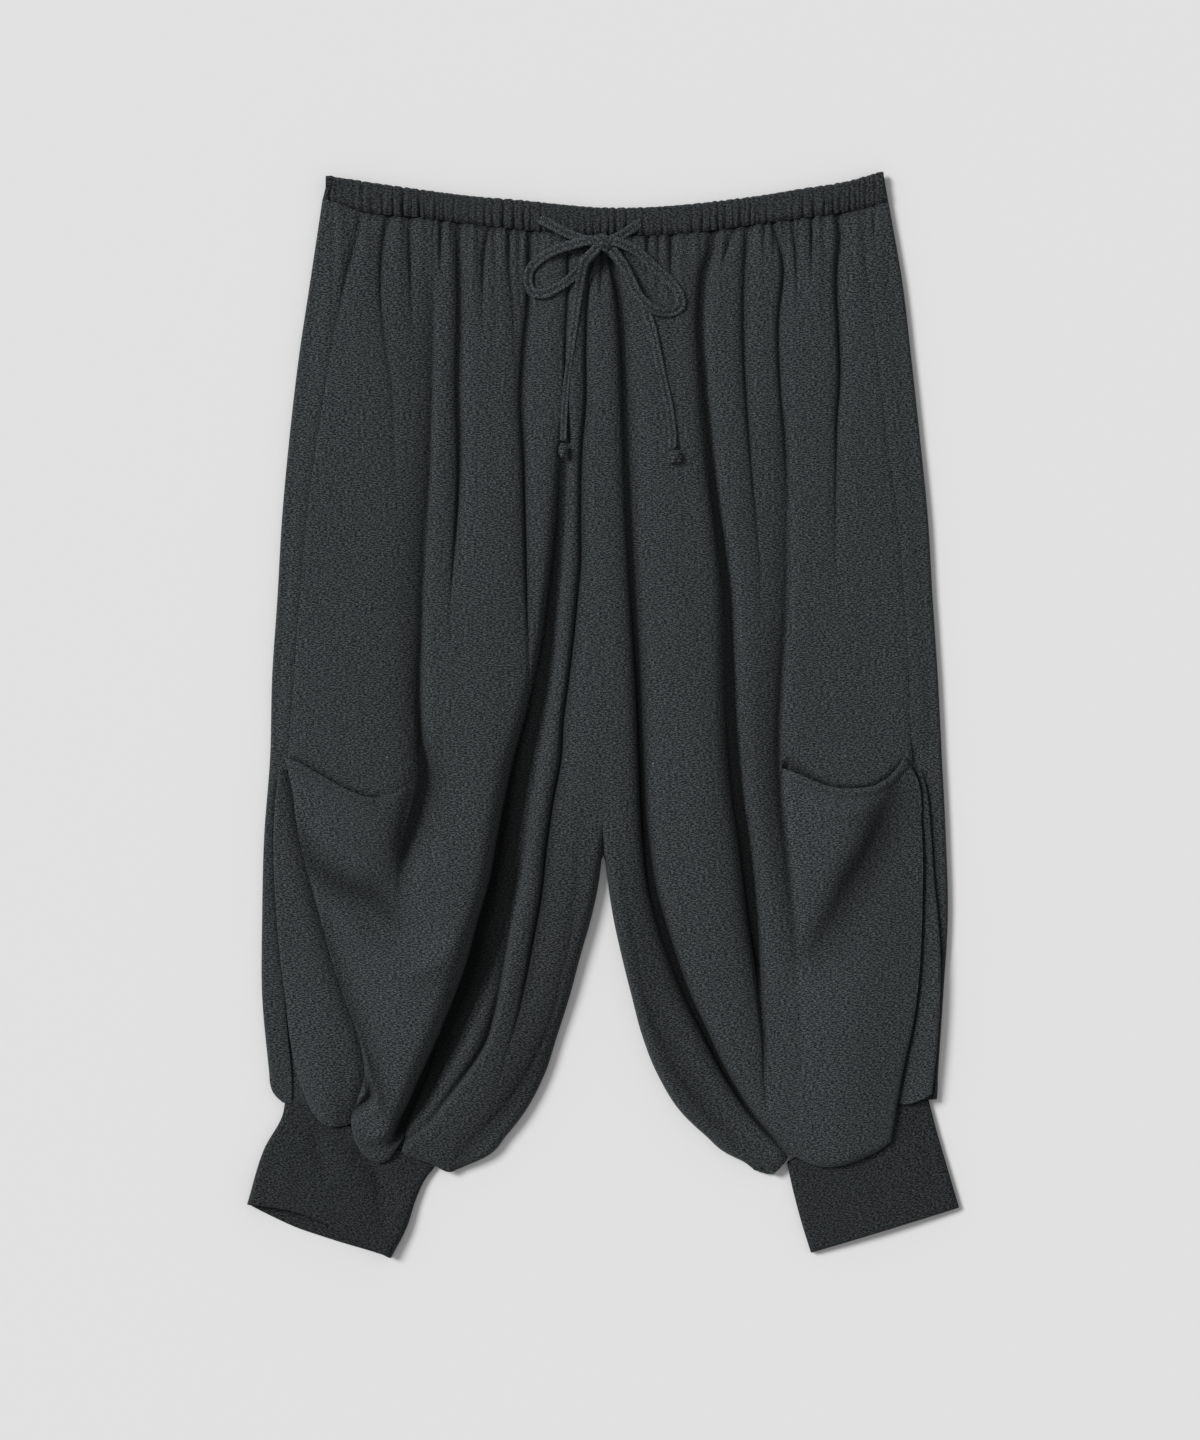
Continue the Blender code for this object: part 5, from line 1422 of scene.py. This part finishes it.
class GARMENT_OT_cuffs(Operator):
    """Narrow cuffs, each of a front and a back"""

    bl_idname = "garment.cuffs"
    bl_label = "Cuffs"

    def execute(self, context):
        for side in (LEFT, RIGHT):
            sheet_piece(f"cuff_front_{WORDS[side]}", cuff_front_grid(side), side == LEFT, "cuff",
                        *CUFF_CUT, f"cuff_{WORDS[side]}_front")
            sheet_piece(f"cuff_back_{WORDS[side]}", cuff_back_grid(side), side == RIGHT, "cuff",
                        *CUFF_CUT, f"cuff_{WORDS[side]}_back")
        return {"FINISHED"}


class GARMENT_OT_tie(Operator):
    """Flat tie from its buttonholes through the bow's knot to its knotted ends"""

    bl_idname = "garment.tie"
    bl_label = "Tie"

    def execute(self, context):
        material = cloth_material("tie")
        width = TIE_WIDTH
        for side in (LEFT, RIGHT):
            word = WORDS[side]
            strand, path = ribbon(f"tie_strand_{word}", TIE_HALVES[side], TIE_WIDTHS[side], width)
            give_tie_uv(strand)
            select_only(strand)
            bpy.ops.object.shade_smooth_by_angle(angle=math.radians(50))
            finish_piece(strand, material, "tie", f"tie_lead_{word}", f"tie_loop_{word}",
                         f"tie_tail_{word}")
            knot = end_knot(f"tie_end_knot_{word}", *END_KNOTS[side])
            finish_piece(knot, material, "tie", f"tie_end_{word}")
            if side == LEFT:
                wrap = end_knot("bow_knot", *KNOT)
                finish_piece(wrap, material, "tie", "tie_knot")
        return {"FINISHED"}


class GARMENT_OT_stage(Operator):
    """Plain pale floor, soft light from the upper left and the camera straight above"""

    bl_idname = "garment.stage"
    bl_label = "Stage"

    def execute(self, context):
        settings = context.scene.garment_stage
        bpy.ops.object.select_all(action="DESELECT")
        bpy.ops.mesh.primitive_plane_add(size=settings.floor_reach)
        floor = context.object
        floor.name = "floor"
        plain = Finish("plain floor")
        plain.set_input(plain.shader.inputs["Base Color"], tuple(settings.floor_colour))
        plain.set_input(plain.shader.inputs["Roughness"], 0.9)
        floor.data.materials.append(plain.material)

        bpy.ops.object.light_add(type="SUN", rotation=SUN_TURN)
        sun = context.object
        sun.data.energy = settings.sun_strength
        sun.data.angle = SUN_ANGLE
        context.scene.view_settings.view_transform = "Standard"
        world = context.scene.world or bpy.data.worlds.new("soft sky")
        context.scene.world = world
        world.use_nodes = True
        background = world.node_tree.nodes["Background"]
        background.inputs["Color"].default_value = (1.0, 1.0, 1.0, 1.0)
        background.inputs["Strength"].default_value = settings.sky_strength

        high = settings.camera_height
        bpy.ops.object.camera_add(location=(CAMERA_X, CAMERA_Y, high), rotation=(0, 0, 0))
        camera = context.object
        camera.data.sensor_fit = "VERTICAL"
        camera.data.sensor_height = 36.0
        camera.data.lens = 36.0 * (high - CAMERA_PLANE) / FRAME_HIGH
        context.scene.camera = camera
        return {"FINISHED"}


def give_tie_uv(strand):
    """Lengths along and round the tie as its UV map, in metres, and the painted shade of its edges
    and middle as the attribute hollow.
    """
    mesh = strand.data
    layer = mesh.uv_layers.new(name="UVMap")
    corner = np.empty(len(mesh.loops), dtype=np.int32)
    mesh.loops.foreach_get("vertex_index", corner)
    down = (corner // len(TIE_SECTION)) / TIE_POINTS_A_MM * MM
    round_it = (corner % len(TIE_SECTION)) * 1.1 * MM
    count = len(mesh.vertices) // len(TIE_SECTION)
    shade = np.tile(TIE_SHADE, count)
    mesh.attributes.new("hollow", "FLOAT", "POINT").data.foreach_set("value", shade)
    layer.data.foreach_set("uv", np.stack([round_it, down], axis=-1).reshape(-1))


def knot_turns(unit):
    """How far the turns of the tie stand out of a knot, in each direction from its middle."""
    return 0.07 * np.sin(9 * unit[..., 1] + 3.4 * unit[..., 0] + 2.2 * unit[..., 2]) + \
        0.05 * np.sin(5 * unit[..., 0] - 6 * unit[..., 1])


def end_knot(name, centre, size, turn):
    """A small overhand knot: a soft lump with the turns of the tie round it."""
    rings, corners = KNOT_RINGS, KNOT_CORNERS
    vertices, faces = [], []
    for i in range(rings + 1):
        polar = math.pi * i / rings
        for j in range(corners):
            angle = 2 * math.pi * j / corners
            unit = np.array([math.sin(polar) * math.cos(angle), math.cos(polar),
                             math.sin(polar) * math.sin(angle)])
            full = np.sign(unit) * np.abs(unit) ** KNOT_FULLNESS
            point = full * (1 + knot_turns(unit)) * np.array(size) / 2
            c, s = math.cos(turn), math.sin(turn)
            vertices.append(((centre[0] + point[0] * c - point[1] * s) * MM,
                             (centre[1] + point[0] * s + point[1] * c) * MM,
                             (centre[2] + point[2]) * MM))
    for i in range(rings):
        for j in range(corners):
            k = (j + 1) % corners
            faces.append((i * corners + j, i * corners + k,
                          (i + 1) * corners + k, (i + 1) * corners + j))
    piece = mesh_piece(name, vertices, faces)
    select_only(piece)
    bpy.ops.object.mode_set(mode="EDIT")
    bpy.ops.mesh.select_all(action="SELECT")
    bpy.ops.mesh.remove_doubles(threshold=0.00001)
    bpy.ops.mesh.normals_make_consistent(inside=False)
    bpy.ops.uv.cube_project(cube_size=1.0, scale_to_bounds=False)
    bpy.ops.object.mode_set(mode="OBJECT")
    places = np.empty(3 * len(piece.data.vertices))
    piece.data.vertices.foreach_get("co", places)
    # Painted shade: the whole knot darker, and darker still between its turns
    off = places.reshape(-1, 3) / MM - np.array(centre)
    c, s = math.cos(turn), math.sin(turn)
    unit = off @ np.array([[c, -s, 0], [s, c, 0], [0, 0, 1]]) / (np.array(size) / 2)
    shade = np.clip(KNOT_SHADE - KNOT_SHADE_TURNS * knot_turns(unit), 0, 0.85)
    piece.data.attributes.new("hollow", "FLOAT", "POINT").data.foreach_set("value", shade)
    bpy.ops.object.shade_smooth_by_angle(angle=math.radians(60))
    return piece


class GARMENT_PT_pieces(Panel):
    """Lists the pieces of the garment"""

    bl_idname = "GARMENT_PT_pieces"
    bl_label = "Balloon Pants"
    bl_space_type = "VIEW_3D"
    bl_region_type = "UI"
    bl_category = "Garment"

    def draw(self, context):
        layout = self.layout
        for settings in (context.scene.garment_cloth, context.scene.garment_stage):
            for name in settings.bl_rna.properties.keys():
                if name not in ("rna_type", "name"):
                    layout.prop(settings, name)
        for operator in PIECES:
            layout.operator(operator.bl_idname)


PIECES = (
    GARMENT_OT_stage,
    GARMENT_OT_tie,
    GARMENT_OT_waistband,
    GARMENT_OT_fronts,
    GARMENT_OT_backs,
    GARMENT_OT_pouches,
    GARMENT_OT_cuffs,
)
CLASSES = (GarmentCloth, GarmentStage, *PIECES, GARMENT_PT_pieces)


def register():
    """Registers the classes and their settings."""
    for kind in CLASSES:
        bpy.utils.register_class(kind)
    bpy.types.Scene.garment_cloth = PointerProperty(type=GarmentCloth)
    bpy.types.Scene.garment_stage = PointerProperty(type=GarmentStage)


def unregister():
    """Takes the classes and their settings out again."""
    del bpy.types.Scene.garment_stage
    del bpy.types.Scene.garment_cloth
    for kind in reversed(CLASSES):
        bpy.utils.unregister_class(kind)


def main():
    """Makes every piece in order."""
    register()
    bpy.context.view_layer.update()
    for operator in PIECES:
        group, name = operator.bl_idname.split(".")
        getattr(getattr(bpy.ops, group), name)()


if __name__ == "__main__":
    main()
